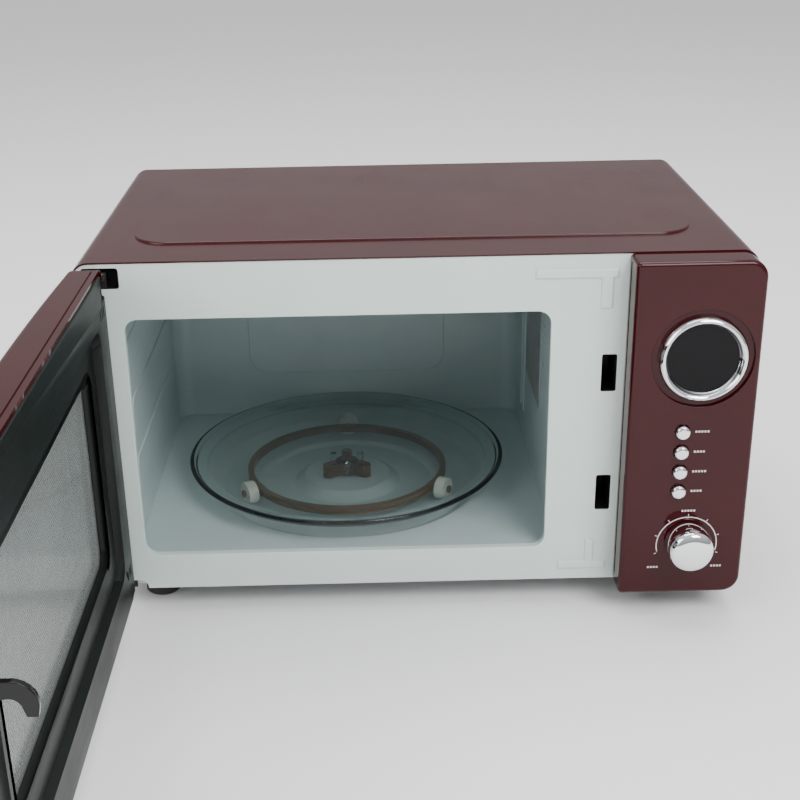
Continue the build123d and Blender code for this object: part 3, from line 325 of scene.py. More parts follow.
def ramp(tree, value, low, high):
    node = tree.nodes.new("ShaderNodeMapRange")
    tree.links.new(value, node.inputs["Value"])
    node.inputs["From Min"].default_value, node.inputs["From Max"].default_value = low, high
    return node.outputs["Result"]


def makeOrangePeel():
    group, start, end, place = newGroup("orangePeel", {"Scale": 420.0}, {"Height": "NodeSocketFloat"})
    broad = noise(group, place, start.outputs["Scale"], 1.0, 0.4)
    fine = noise(group, place, math(group, "MULTIPLY", start.outputs["Scale"], 3.1), 2.0, 0.5)
    group.links.new(math(group, "MULTIPLY_ADD", fine, 0.25, broad), end.inputs["Height"])
    return group


def makeGrain():
    group, start, end, place = newGroup("mouldGrain", {"Scale": 1500.0}, {"Height": "NodeSocketFloat"})
    cells = group.nodes.new("ShaderNodeTexVoronoi")
    group.links.new(place, cells.inputs["Vector"])
    group.links.new(start.outputs["Scale"], cells.inputs["Scale"])
    soft = noise(group, place, start.outputs["Scale"], 2.0, 0.6)
    group.links.new(math(group, "MULTIPLY_ADD", cells.outputs["Distance"], 0.7, soft), end.inputs["Height"])
    return group


def makeSmudge():
    group, start, end, place = newGroup(
        "smudges", {"Low": 0.1, "High": 0.2}, {"Roughness": "NodeSocketFloat", "Mask": "NodeSocketFloat"})
    cloud = ramp(group, noise(group, place, 14.0, 4.0, 0.6), 0.35, 0.7)
    wipe = ramp(group, noise(group, place, 60.0, 2.0, 0.5, (1.0, 0.3, 2.4)), 0.45, 0.75)
    mask = math(group, "MULTIPLY_ADD", wipe, 0.35, math(group, "MULTIPLY", cloud, 0.65))
    span = math(group, "SUBTRACT", start.outputs["High"], start.outputs["Low"])
    group.links.new(math(group, "MULTIPLY_ADD", mask, span, start.outputs["Low"]), end.inputs["Roughness"])
    group.links.new(mask, end.inputs["Mask"])
    return group


def makeDust():
    group, start, end, place = newGroup("settledDust", {"Amount": 0.1}, {"Mask": "NodeSocketFloat"})
    geometry = group.nodes.new("ShaderNodeNewGeometry")
    parts = group.nodes.new("ShaderNodeSeparateXYZ")
    group.links.new(geometry.outputs["Normal"], parts.inputs[0])
    up = ramp(group, parts.outputs["Z"], 0.55, 1.0)
    specks = ramp(group, noise(group, place, 900.0, 2.0, 0.7), 0.52, 0.68)
    veil = ramp(group, noise(group, place, 22.0, 5.0, 0.65), 0.3, 0.8)
    layer = math(group, "MULTIPLY_ADD", specks, 0.6, math(group, "MULTIPLY", veil, 0.4))
    mask = math(group, "MULTIPLY", math(group, "MULTIPLY", layer, up), start.outputs["Amount"])
    group.links.new(mask, end.inputs["Mask"])
    return group


def makeWear():
    group, start, end, place = newGroup("edgeWear", {"Amount": 0.3}, {"Mask": "NodeSocketFloat"})
    geometry = group.nodes.new("ShaderNodeNewGeometry")
    edges = ramp(group, geometry.outputs["Pointiness"], 0.53, 0.62)
    patchy = ramp(group, noise(group, place, 260.0, 4.0, 0.65), 0.42, 0.62)
    mask = math(group, "MULTIPLY", math(group, "MULTIPLY", edges, patchy), start.outputs["Amount"])
    group.links.new(mask, end.inputs["Mask"])
    return group


def makeScratches():
    group, start, end, place = newGroup(
        "hairlines", {"Scale": 30.0}, {"Height": "NodeSocketFloat", "Mask": "NodeSocketFloat"})
    first = noise(group, place, start.outputs["Scale"], 3.0, 0.7, (1.0, 30.0, 30.0))
    second = noise(group, place, start.outputs["Scale"], 3.0, 0.7, (24.0, 1.4, 24.0))
    total = math(group, "MULTIPLY_ADD", second, 0.4, math(group, "MULTIPLY", first, 0.6))
    group.links.new(total, end.inputs["Height"])
    group.links.new(ramp(group, total, 0.44, 0.62), end.inputs["Mask"])
    return group


effects = {
    "peel": makeOrangePeel(), "grain": makeGrain(), "smudge": makeSmudge(),
    "dust": makeDust(), "wear": makeWear(), "lines": makeScratches(),
}
print("surface effects ready")


def placeEffect(tree, name, **values):
    node = tree.nodes.new("ShaderNodeGroup")
    node.node_tree = effects[name]
    for label, value in values.items():
        node.inputs[label].default_value = value
    return node


def blendColour(tree, factor, first, second):
    node = tree.nodes.new("ShaderNodeMix")
    node.data_type = "RGBA"
    tree.links.new(factor, node.inputs["Factor"])
    for socket, value in ((node.inputs[6], first), (node.inputs[7], second)):
        if isinstance(value, (tuple, list)):
            socket.default_value = (*value[:3], 1)
        else:
            tree.links.new(value, socket)
    return node.outputs[2]


def finish(name, colour, shade=None, low=0.2, high=0.3, metal=0.0, coat=0.0, coatRough=0.05, bump="peel",
           bumpScale=420.0, bumpHeight=0.02, dust=0.1, dustColour=(0.5, 0.48, 0.45), wear=0.0,
           wearColour=(0.6, 0.6, 0.6), mottle=18.0, specular=0.5, sheen=0.0, anisotropy=0.0, transmission=0.0,
           ior=1.5, alpha=1.0):
    material = bpy.data.materials.new(name)
    material.use_nodes = True
    tree = material.node_tree
    shader = tree.nodes["Principled BSDF"]
    place = tree.nodes.new("ShaderNodeTexCoord").outputs["Object"]
    cloud = ramp(tree, noise(tree, place, mottle, 4.0, 0.6), 0.3, 0.7)
    base = blendColour(tree, cloud, colour, shade or [0.88 * channel for channel in colour])
    if wear:
        base = blendColour(tree, placeEffect(tree, "wear", Amount=wear).outputs["Mask"], base, wearColour)
    smudges = placeEffect(tree, "smudge", Low=low, High=high)
    rough = smudges.outputs["Roughness"]
    if dust:
        layer = placeEffect(tree, "dust", Amount=dust).outputs["Mask"]
        base = blendColour(tree, layer, base, dustColour)
        rough = math(tree, "MULTIPLY_ADD", layer, 0.5, rough)
    tree.links.new(base, shader.inputs["Base Color"])
    tree.links.new(rough, shader.inputs["Roughness"])
    shader.inputs["Metallic"].default_value = metal
    shader.inputs["Coat Weight"].default_value = coat
    shader.inputs["Coat Roughness"].default_value = coatRough
    shader.inputs["Specular IOR Level"].default_value = specular
    shader.inputs["Sheen Weight"].default_value = sheen
    shader.inputs["Anisotropic"].default_value = anisotropy
    shader.inputs["Transmission Weight"].default_value = transmission
    shader.inputs["IOR"].default_value = ior
    shader.inputs["Alpha"].default_value = alpha
    if bump:
        relief = tree.nodes.new("ShaderNodeBump")
        relief.inputs["Strength"].default_value = 1.0
        relief.inputs["Distance"].default_value = bumpHeight * mm
        tree.links.new(placeEffect(tree, bump, Scale=bumpScale).outputs["Height"], relief.inputs["Height"])
        tree.links.new(relief.outputs["Normal"], shader.inputs["Normal"])
    return material


# finishes of this oven
coverEnamel = finish("coverEnamel", (0.042, 0.004, 0.006), (0.036, 0.004, 0.006), 0.2, 0.3, coat=0.12,
                     coatRough=0.1,
                     bumpScale=520.0, bumpHeight=0.02, dust=0.03, dustColour=(0.3, 0.22, 0.18), specular=0.26)
glossBurgundy = finish("glossBurgundy", (0.038, 0.0012, 0.003), (0.033, 0.001, 0.0025), 0.06, 0.14,
                       coat=0.12, coatRough=0.03,
                       bumpScale=160.0, bumpHeight=0.008, dust=0.012, specular=0.22)
plateEnamel = finish("plateEnamel", (0.64, 0.745, 0.705), (0.61, 0.715, 0.675), 0.28, 0.4, coat=0.25,
                     coatRough=0.2,
                     bumpScale=480.0, bumpHeight=0.04, dust=0.06, wear=0.15, wearColour=(0.5, 0.52, 0.5))
chamberEnamel = finish("chamberEnamel", (0.44, 0.53, 0.535), (0.41, 0.495, 0.505), 0.3, 0.42, coat=0.2,
                       coatRough=0.25,
                       bumpScale=420.0, bumpHeight=0.05, dust=0.08)
satinBlack = finish("satinBlack", (0.016, 0.018, 0.017), (0.012, 0.013, 0.013), 0.3, 0.42, bump="grain",
                    bumpScale=2200.0, bumpHeight=0.02, dust=0.03, specular=0.3)
frameBlack = finish("frameBlack", (0.009, 0.0115, 0.0105), (0.007, 0.009, 0.008), 0.34, 0.44, bump="grain",
                    bumpScale=2000.0, bumpHeight=0.006, dust=0.01, specular=0.16)
glossBlack = finish("glossBlack", (0.008, 0.008, 0.009), (0.006, 0.006, 0.007), 0.07, 0.14, coat=0.1,
                    coatRough=0.05,
                    bumpScale=120.0, bumpHeight=0.01, dust=0.01, specular=0.25)
footRubber = finish("footRubber", (0.03, 0.03, 0.031), (0.022, 0.022, 0.023), 0.6, 0.8, bump="grain",
                    bumpScale=1600.0, bumpHeight=0.04, dust=0.3)
mirrorChrome = finish("mirrorChrome", (0.86, 0.87, 0.89), (0.82, 0.83, 0.86), 0.03, 0.09, metal=1.0,
                      bumpScale=90.0, bumpHeight=0.006, dust=0.04)
zincSheet = finish("zincSheet", (0.58, 0.60, 0.61), (0.47, 0.49, 0.5), 0.28, 0.5, metal=1.0, bump="lines",
                   bumpScale=26.0, bumpHeight=0.02, dust=0.2, mottle=70.0)
brightZinc = finish("brightZinc", (0.72, 0.72, 0.70), (0.62, 0.61, 0.56), 0.18, 0.34, metal=1.0, bump="lines",
                    bumpScale=80.0, bumpHeight=0.01, dust=0.1, wear=0.3, wearColour=(0.4, 0.38, 0.34),
                    mottle=200.0)
micaBoard = finish("micaBoard", (0.27, 0.28, 0.27), (0.22, 0.23, 0.22), 0.35, 0.6, bump="grain",
                   bumpScale=500.0, bumpHeight=0.05, dust=0.05, mottle=120.0)
pressedSteel = finish("pressedSteel", (0.52, 0.52, 0.50), (0.44, 0.44, 0.41), 0.3, 0.48, metal=1.0,
                      bump="lines",
                      bumpScale=40.0, bumpHeight=0.02, dust=0.15)
canAluminium = finish("canAluminium", (0.74, 0.75, 0.76), (0.66, 0.67, 0.69), 0.24, 0.4, metal=1.0,
                      bump="lines",
                      bumpScale=50.0, bumpHeight=0.015, dust=0.12)
whiteMoulding = finish("whiteMoulding", (0.72, 0.73, 0.70), (0.68, 0.69, 0.66), 0.3, 0.42, bump="grain",
                       bumpScale=1300.0, bumpHeight=0.01, dust=0.12)
coreIron = finish("coreIron", (0.16, 0.16, 0.17), (0.11, 0.10, 0.10), 0.45, 0.65, metal=0.8, bump="lines",
                  bumpScale=160.0, bumpHeight=0.08, dust=0.2)
couplerBrown = finish("couplerBrown", (0.10, 0.045, 0.022), (0.085, 0.038, 0.02), 0.3, 0.45, bump="grain",
                      bumpScale=1500.0, bumpHeight=0.015, dust=0.06, wear=0.3, wearColour=(0.2, 0.11, 0.07))
ringBrown = finish("ringBrown", (0.16, 0.085, 0.042), (0.13, 0.068, 0.034), 0.3, 0.45, bump="grain",
                   bumpScale=1500.0, bumpHeight=0.015, dust=0.06, wear=0.3, wearColour=(0.3, 0.2, 0.13))
rollerWhite = finish("rollerWhite", (0.74, 0.74, 0.70), (0.66, 0.66, 0.61), 0.35, 0.5, bump="grain",
                     bumpScale=1400.0, bumpHeight=0.01, dust=0.1, wear=0.3, wearColour=(0.45, 0.42, 0.36))
clearGlass = finish("clearGlass", (0.93, 0.97, 0.955), (0.90, 0.955, 0.935), 0.02, 0.06, bumpScale=60.0,
                    bumpHeight=0.01, dust=0.03, transmission=1.0, ior=1.5)
bulbGlass = finish("bulbGlass", (0.95, 0.94, 0.88), (0.9, 0.88, 0.8), 0.03, 0.1, bumpScale=150.0,
                   bumpHeight=0.01, dust=0.05, transmission=1.0, ior=1.45)
darkLens = finish("darkLens", (0.006, 0.006, 0.007), (0.004, 0.004, 0.005), 0.04, 0.1, coat=0.05,
                  coatRough=0.03,
                  bumpScale=90.0, bumpHeight=0.006, dust=0.005, specular=0.12)
smokedPane = finish("smokedPane", (0.035, 0.035, 0.037), (0.03, 0.03, 0.032), 0.05, 0.12, coat=0.05,
                    coatRough=0.03,
                    bumpScale=80.0, bumpHeight=0.006, dust=0.01, alpha=0.86, specular=0.3)
# The door film's pale, plate-tinted base colour at low alpha is a painted reflection of the white front plate,
# not the clear film's own colour.
clearFilm = finish("clearFilm", (0.62, 0.68, 0.66), (0.56, 0.62, 0.60), 0.08, 0.16, bumpScale=45.0,
                   bumpHeight=0.05,
                   dust=0.02, alpha=0.2, specular=0.7)
screenBlack = finish("screenBlack", (0.05, 0.053, 0.051), (0.042, 0.045, 0.043), 0.3, 0.45, bumpScale=900.0,
                     bumpHeight=0.01, dust=0.04)
boardGreen = finish("boardGreen", (0.03, 0.14, 0.06), (0.02, 0.09, 0.04), 0.25, 0.4, bump="lines",
                    bumpScale=120.0,
                    bumpHeight=0.05, dust=0.2, mottle=260.0)
springWire = finish("springWire", (0.45, 0.45, 0.46), (0.35, 0.35, 0.35), 0.22, 0.4, metal=1.0, bump="lines",
                    bumpScale=90.0, bumpHeight=0.01, dust=0.1)
printWhite = finish("printWhite", (0.72, 0.70, 0.69), (0.64, 0.62, 0.61), 0.4, 0.55, bump="grain",
                    bumpScale=3000.0, bumpHeight=0.003, dust=0.03)
print("finishes ready")

# cabinet cover: one bent sheet with a raised field on top and slots low on both sides
coverSettings = {
    "corner": 12 * mm, "sheet": 1 * mm, "lip": 8 * mm,
    "fieldSide": 33 * mm, "fieldFront": 39.5 * mm, "fieldRear": 41 * mm, "fieldRaise": 1.5 * mm,
    "fieldCorner": 26 * mm,
    "slotWidth": 3 * mm, "slotHeight": 20 * mm, "slotPitch": 7 * mm, "slotRows": 3, "slotsInRow": 13,
    "slotRise": 30 * mm, "slotFromRear": 114 * mm, "slotFromBottom": 61.5 * mm,
}


def makeCover():
    s = coverSettings
    top = coverHigh.z - s["fieldRaise"]
    low, high = Vector((coverLow.x, coverLow.y, coverLow.z)), Vector((coverHigh.x, coverHigh.y, top))
    cover = box("cover", low, high)
    bevelEdges(cover, lambda edge: along(edge, 1) and middle(edge).z > top - mm, s["corner"], 12)
    inner = box("inner", low + Vector((s["sheet"], -mm, s["sheet"])),
                high + Vector((-s["sheet"], mm, -s["sheet"])))
    bevelEdges(inner, lambda edge: along(edge, 1) and middle(edge).z > top - 2 * mm,
               s["corner"] - s["sheet"], 12)
    gap = box("gap", (low.x + s["lip"], low.y - mm, low.z - mm),
              (high.x - s["lip"], high.y + mm, low.z + 4 * mm))
    cut(cover, inner)
    cut(cover, gap)
    fieldLow = Vector((low.x + s["fieldSide"], low.y + s["fieldFront"], top - 0.5 * mm))
    fieldHigh = Vector((high.x - s["fieldSide"], high.y - s["fieldRear"], coverHigh.z))
    field = roundBox("field", fieldLow, fieldHigh, 2, s["fieldCorner"], 14)
    bevelEdges(field, lambda edge: middle(edge).z > fieldHigh.z - 0.1 * mm, s["fieldRaise"] * 0.95, 4)
    fuse(cover, field)
    slots = []
    for side in (low.x, high.x):
        start = Vector((side, high.y - s["slotFromRear"], low.z + s["slotFromBottom"]))
        half = Vector((4 * mm, s["slotWidth"] / 2, s["slotHeight"] / 2))
        slot = roundBox("slot", start + half * -1 + Vector((0, 0, half.z)),
                        start + half + Vector((0, 0, half.z)),
                        0, s["slotWidth"] * 0.45, 4)
        repeat(slot, s["slotsInRow"], (0, s["slotPitch"], 0))
        repeat(slot, s["slotRows"], (0, 0, s["slotRise"]))
        slots.append(slot)
    cut(cover, *slots)
    soften(cover, 0.3 * mm, 2, 50)
    finished(cover, "coverShell", "cabinet", coverEnamel, "cover_paint", "outer_cover")


makeCover()
print("cover made")

# front plate with its mouth, latch slots, hinge notches and pressed ribs
plateSettings = {
    "sheet": 1 * mm, "rim": 9 * mm, "corner": 10.8 * mm, "mouthCorner": 9 * mm, "mouthLip": 5 * mm,
    "lipRound": 1.6 * mm,
    "slotWidth": 10.2 * mm, "slotHeight": 26.6 * mm, "ribRaise": 1.3 * mm, "ribWidth": 6 * mm,
}
mouthLow = Vector((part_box("cavity_left_wall")[1][0] + 7 * mm, 0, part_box("cavity_floor")[1][2] + 1.2 * mm))
mouthHigh = Vector((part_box("cavity_right_wall")[0][0] - 7 * mm, 0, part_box("cavity_ceiling")[0][2] - 6 * mm))
hookZ = [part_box("interlock_bracket")[1][2] - 24 * mm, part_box("interlock_bracket")[0][2] + 26 * mm]
hookX = (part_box("interlock_bracket")[0][0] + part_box("interlock_bracket")[1][0]) / 2


def makePlate():
    s = plateSettings
    face = plateLow.y + s["ribRaise"]
    low = Vector((plateLow.x, face, plateLow.z))
    high = Vector((plateHigh.x, face + s["rim"], plateHigh.z))
    plate = box("plate", low, high)
    bevelEdges(plate, lambda edge: along(edge, 1) and middle(edge).z > high.z - mm, s["corner"], 10)
    hollow = box("hollow", low + Vector((s["sheet"], s["sheet"], -2 * mm)),
                 high + Vector((-s["sheet"], mm, -s["sheet"])))
    bevelEdges(hollow, lambda edge: along(edge, 1) and middle(edge).z > high.z - 3 * mm,
               s["corner"] - s["sheet"], 10)
    cut(plate, hollow)
    sheet = Vector((s["sheet"], 0, s["sheet"]))
    collar = roundBox("collar", mouthLow - sheet + Vector((0, face + 0.3 * mm, 0)),
                      mouthHigh + sheet + Vector((0, face + s["mouthLip"], 0)), 1,
                      s["mouthCorner"] + s["sheet"], 10)
    fuse(plate, collar)
    mouth = roundBox("mouth", mouthLow + Vector((0, face - mm, 0)), mouthHigh + Vector((0, face + 9 * mm, 0)),
                     1, s["mouthCorner"], 10)
    cutters = [mouth]
    for z in hookZ:
        half = Vector((s["slotWidth"] / 2, 4 * mm, s["slotHeight"] / 2))
        centre = Vector((hookX, face, z))
        cutters.append(roundBox("hookSlot", centre - half, centre + half, 1, 1.2 * mm, 3))
    cutters.append(box("board", (panelLow.x + 14 * mm, face - mm, plateLow.z + 26 * mm),
                       (panelHigh.x - 14 * mm, face + 4 * mm, coverHigh.z - 21.5 * mm)))
    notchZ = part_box("hinge_brackets")[1][2] - 8 * mm
    cutters.append(roundBox("upperNotch", (coverLow.x + 7 * mm, face - 2 * mm, notchZ - 3 * mm),
                            (coverLow.x + 31 * mm, face + 4 * mm, notchZ + 11 * mm), 1, 2 * mm, 4))
    lower = box("lowerNotch", (coverLow.x + 7 * mm, face - 2 * mm, 0),
                (coverLow.x + 31 * mm, face + 4 * mm, plateLow.z + 6.5 * mm))
    bevelEdges(lower, lambda edge: along(edge, 1) and middle(edge).x > coverLow.x + 20 * mm, 6 * mm, 6)
    cutters.append(lower)
    for x in (coverLow.x, coverHigh.x):
        cutters.append(box("lipRoom", (x - 8.5 * mm, face - 2 * mm, 0),
                           (x + 8.5 * mm, face + 12 * mm, plateLow.z + 1.3 * mm)))
    for cutter in cutters:
        cut(plate, cutter)
    bevelEdges(plate, lambda edge: all(abs(v.co.y - face) < 0.05 * mm for v in edge.verts)
               and mouthLow.x - mm < middle(edge).x < mouthHigh.x + mm
               and mouthLow.z - mm < middle(edge).z < mouthHigh.z + mm, s["lipRound"] * 0.6, 4)
    for x, z, width, height in (
        (-34, -14, 54, s["ribWidth"]), (-14, -26, 8, 24),
        (-23, None, 34, s["ribWidth"]), (-18, None, s["ribWidth"], 20),
    ):
        width = width * mm if width > 1 else width
        height = height * mm if height > 1 else height
        if z is None:
            z = plateLow.z + (11.5 if width > height else 21.5) * mm
        else:
            z = coverHigh.z - 1.5 * mm + z * mm
        centre = Vector((panelLow.x + x * mm, 0, z))
        rib = box("rib", centre + Vector((-width / 2, plateLow.y, -height / 2)),
                  centre + Vector((width / 2, face + 0.3 * mm, height / 2)))
        bevelEdges(rib, lambda edge: middle(edge).y < plateLow.y + 0.1 * mm, s["ribRaise"] * 0.8, 3)
        fuse(plate, rib)
    soften(plate, 0.25 * mm, 2, 55)
    finished(plate, "frontPlate", "cabinet", plateEnamel, "white_enamel", "front_plate")


makePlate()
print("front plate made")

# cooking chamber: walls with pressed fields, ribs and holes, and a stepped floor pan
chamberSettings = {
    "wall": 1 * mm, "corner": 14 * mm, "ribRaise": 1.0 * mm,
    "holeSide": 3 * mm, "holePitch": 6 * mm,
    "trackOuter": 107 * mm, "trackInner": 97.4 * mm, "trackDrop": 4.9 * mm, "wellOuter": 70.3 * mm,
    "wellInner": 66 * mm, "wellDrop": 7.6 * mm, "dishOuter": 41.5 * mm, "dishInner": 33.4 * mm,
    "dishDrop": 1.2 * mm, "shaftHole": 7 * mm,
}
turnX, turnY = joints["coupler_spin"]["pos_m"][:2]


def makeChamber():
    s = chamberSettings
    low = Vector((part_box("cavity_left_wall")[1][0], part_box("cavity_left_wall")[0][1],
                  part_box("cavity_floor")[1][2]))
    high = Vector((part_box("cavity_right_wall")[0][0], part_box("cavity_rear_wall")[1][1] - s["wall"],
                   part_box("cavity_ceiling")[0][2]))
    wall = Vector((s["wall"], 0, s["wall"]))
    outer = box("chamber", low - wall, high + wall + Vector((0, s["wall"], 0)))
    bevelEdges(outer, lambda edge: along(edge, 2) and middle(edge).y > high.y - mm, s["corner"] + s["wall"],
               10)
    space = box("space", low - Vector((0, 2 * mm, 0)), high)
    bevelEdges(space, lambda edge: along(edge, 2) and middle(edge).y > high.y - mm, s["corner"], 10)
    # pressed ribs and fields on the side walls
    fields = []
    for y, width in ((-104, 5), (-88, 5), (66, 5), (84, 5)):
        start = Vector((high.x - s["ribRaise"], turnY + y * mm, low.z + 22 * mm))
        rib = roundBox("rib", start, start + Vector((4 * mm, width * mm, high.z - low.z - 44 * mm)), 0,
                       2.2 * mm, 4)
        bevelEdges(rib, lambda edge: middle(edge).x < start.x + 0.1 * mm, s["ribRaise"] * 0.9, 3)
        fields.append(rib)
    for z in (34, 78, 122):
        start = Vector((low.x - 4 * mm, turnY - 92 * mm, low.z + z * mm))
        band = roundBox("band", start, start + Vector((4 * mm + s["ribRaise"], 184 * mm, 26 * mm)), 0,
                        9 * mm, 8)
        bevelEdges(band, lambda edge: middle(edge).x > low.x + s["ribRaise"] * 0.9, s["ribRaise"] * 0.9, 3)
        fields.append(band)
    start = Vector((turnX - 84 * mm, high.y - s["ribRaise"], low.z + 38 * mm))
    panel = roundBox("field", start, start + Vector((168 * mm, 5 * mm, 104 * mm)), 1, 16 * mm, 8)
    bevelEdges(panel, lambda edge: middle(edge).y < start.y + 0.1 * mm, s["ribRaise"] * 0.9, 3)
    fields.append(panel)
    for field in fields:
        cut(space, field)
    cut(outer, space)
    cutters = []
    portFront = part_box("waveguide_cover")[0][1]
    inlet = Vector((high.x, portFront - 17 * mm, high.z - 22 * mm))
    half = Vector((3 * mm, s["holeSide"] / 2, s["holeSide"] / 2))
    hole = roundBox("hole", inlet - half, inlet + half, 0, 1.0 * mm, 2)
    repeat(hole, 3, (0, s["holePitch"], 0))
    cutters.append(repeat(hole, 10, (0, 0, -s["holePitch"])))
    outlet = Vector((low.x, high.y - 30 * mm, high.z - 26 * mm))
    hole = roundBox("hole", outlet - half, outlet + half, 0, 1.0 * mm, 2)
    repeat(hole, 8, (0, -s["holePitch"], 0))
    cutters.append(repeat(hole, 4, (0, 0, -s["holePitch"])))
    portLow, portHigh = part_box("waveguide_cover")
    cutters.append(box("port", (high.x - 3 * mm, portLow[1] + 10 * mm, portLow[2] + 10 * mm),
                       (high.x + 3 * mm, portHigh[1] - 10 * mm, portHigh[2] - 10 * mm)))
    cutters.append(rod("pan", (turnX, turnY, low.z - 5 * mm), (turnX, turnY, low.z + 5 * mm),
                       s["trackOuter"] - 0.4 * mm, 128))
    for cutter in cutters:
        cut(outer, cutter)
    drops = [
        (s["trackOuter"] + 0.3 * mm, 0), (s["trackOuter"] - 1.5 * mm, -0.2 * mm),
        (s["trackInner"] + 1.5 * mm, -s["trackDrop"] + 0.5 * mm),
        (s["trackInner"] - 1.5 * mm, -s["trackDrop"]), (s["wellOuter"] + mm, -s["trackDrop"]),
        (s["wellOuter"] - mm, -s["trackDrop"] - 0.6 * mm),
        (s["wellInner"] + 0.5 * mm, -s["wellDrop"] + 0.3 * mm),
        (s["wellInner"] - mm, -s["wellDrop"]), (s["dishOuter"] + mm, -s["wellDrop"]),
        (s["dishOuter"] - mm, -s["wellDrop"] + 0.5 * mm),
        (s["dishInner"] + mm, -s["dishDrop"] - 0.5 * mm), (s["dishInner"] - mm, -s["dishDrop"]),
        (s["shaftHole"], -s["dishDrop"]),
    ]
    outline = drops + [(reach, height - s["wall"]) for reach, height in reversed(drops)]
    pan = spun("pan", outline, (turnX, turnY, low.z), steps=128)
    soften(outer, 0.25 * mm, 2, 55)
    finished(outer, "chamberWalls", "cabinet", chamberEnamel, "grey_enamel",
             "cavity_left_wall", "cavity_right_wall", "cavity_rear_wall", "cavity_ceiling")
    finished(pan, "chamberPan", "cabinet", chamberEnamel, "grey_enamel", "cavity_floor")


makeChamber()
print("chamber made")

# turntable: coupler, roller ring, wheels and glass tray
traySettings = {
    "hub": 8.5 * mm, "arm": 17 * mm, "armWidth": 8 * mm, "hoopOuter": 78 * mm, "hoopInner": 73.5 * mm,
    "axle": 2 * mm, "track": 85 * mm, "glassWall": 4 * mm, "foot": 66 * mm,
}


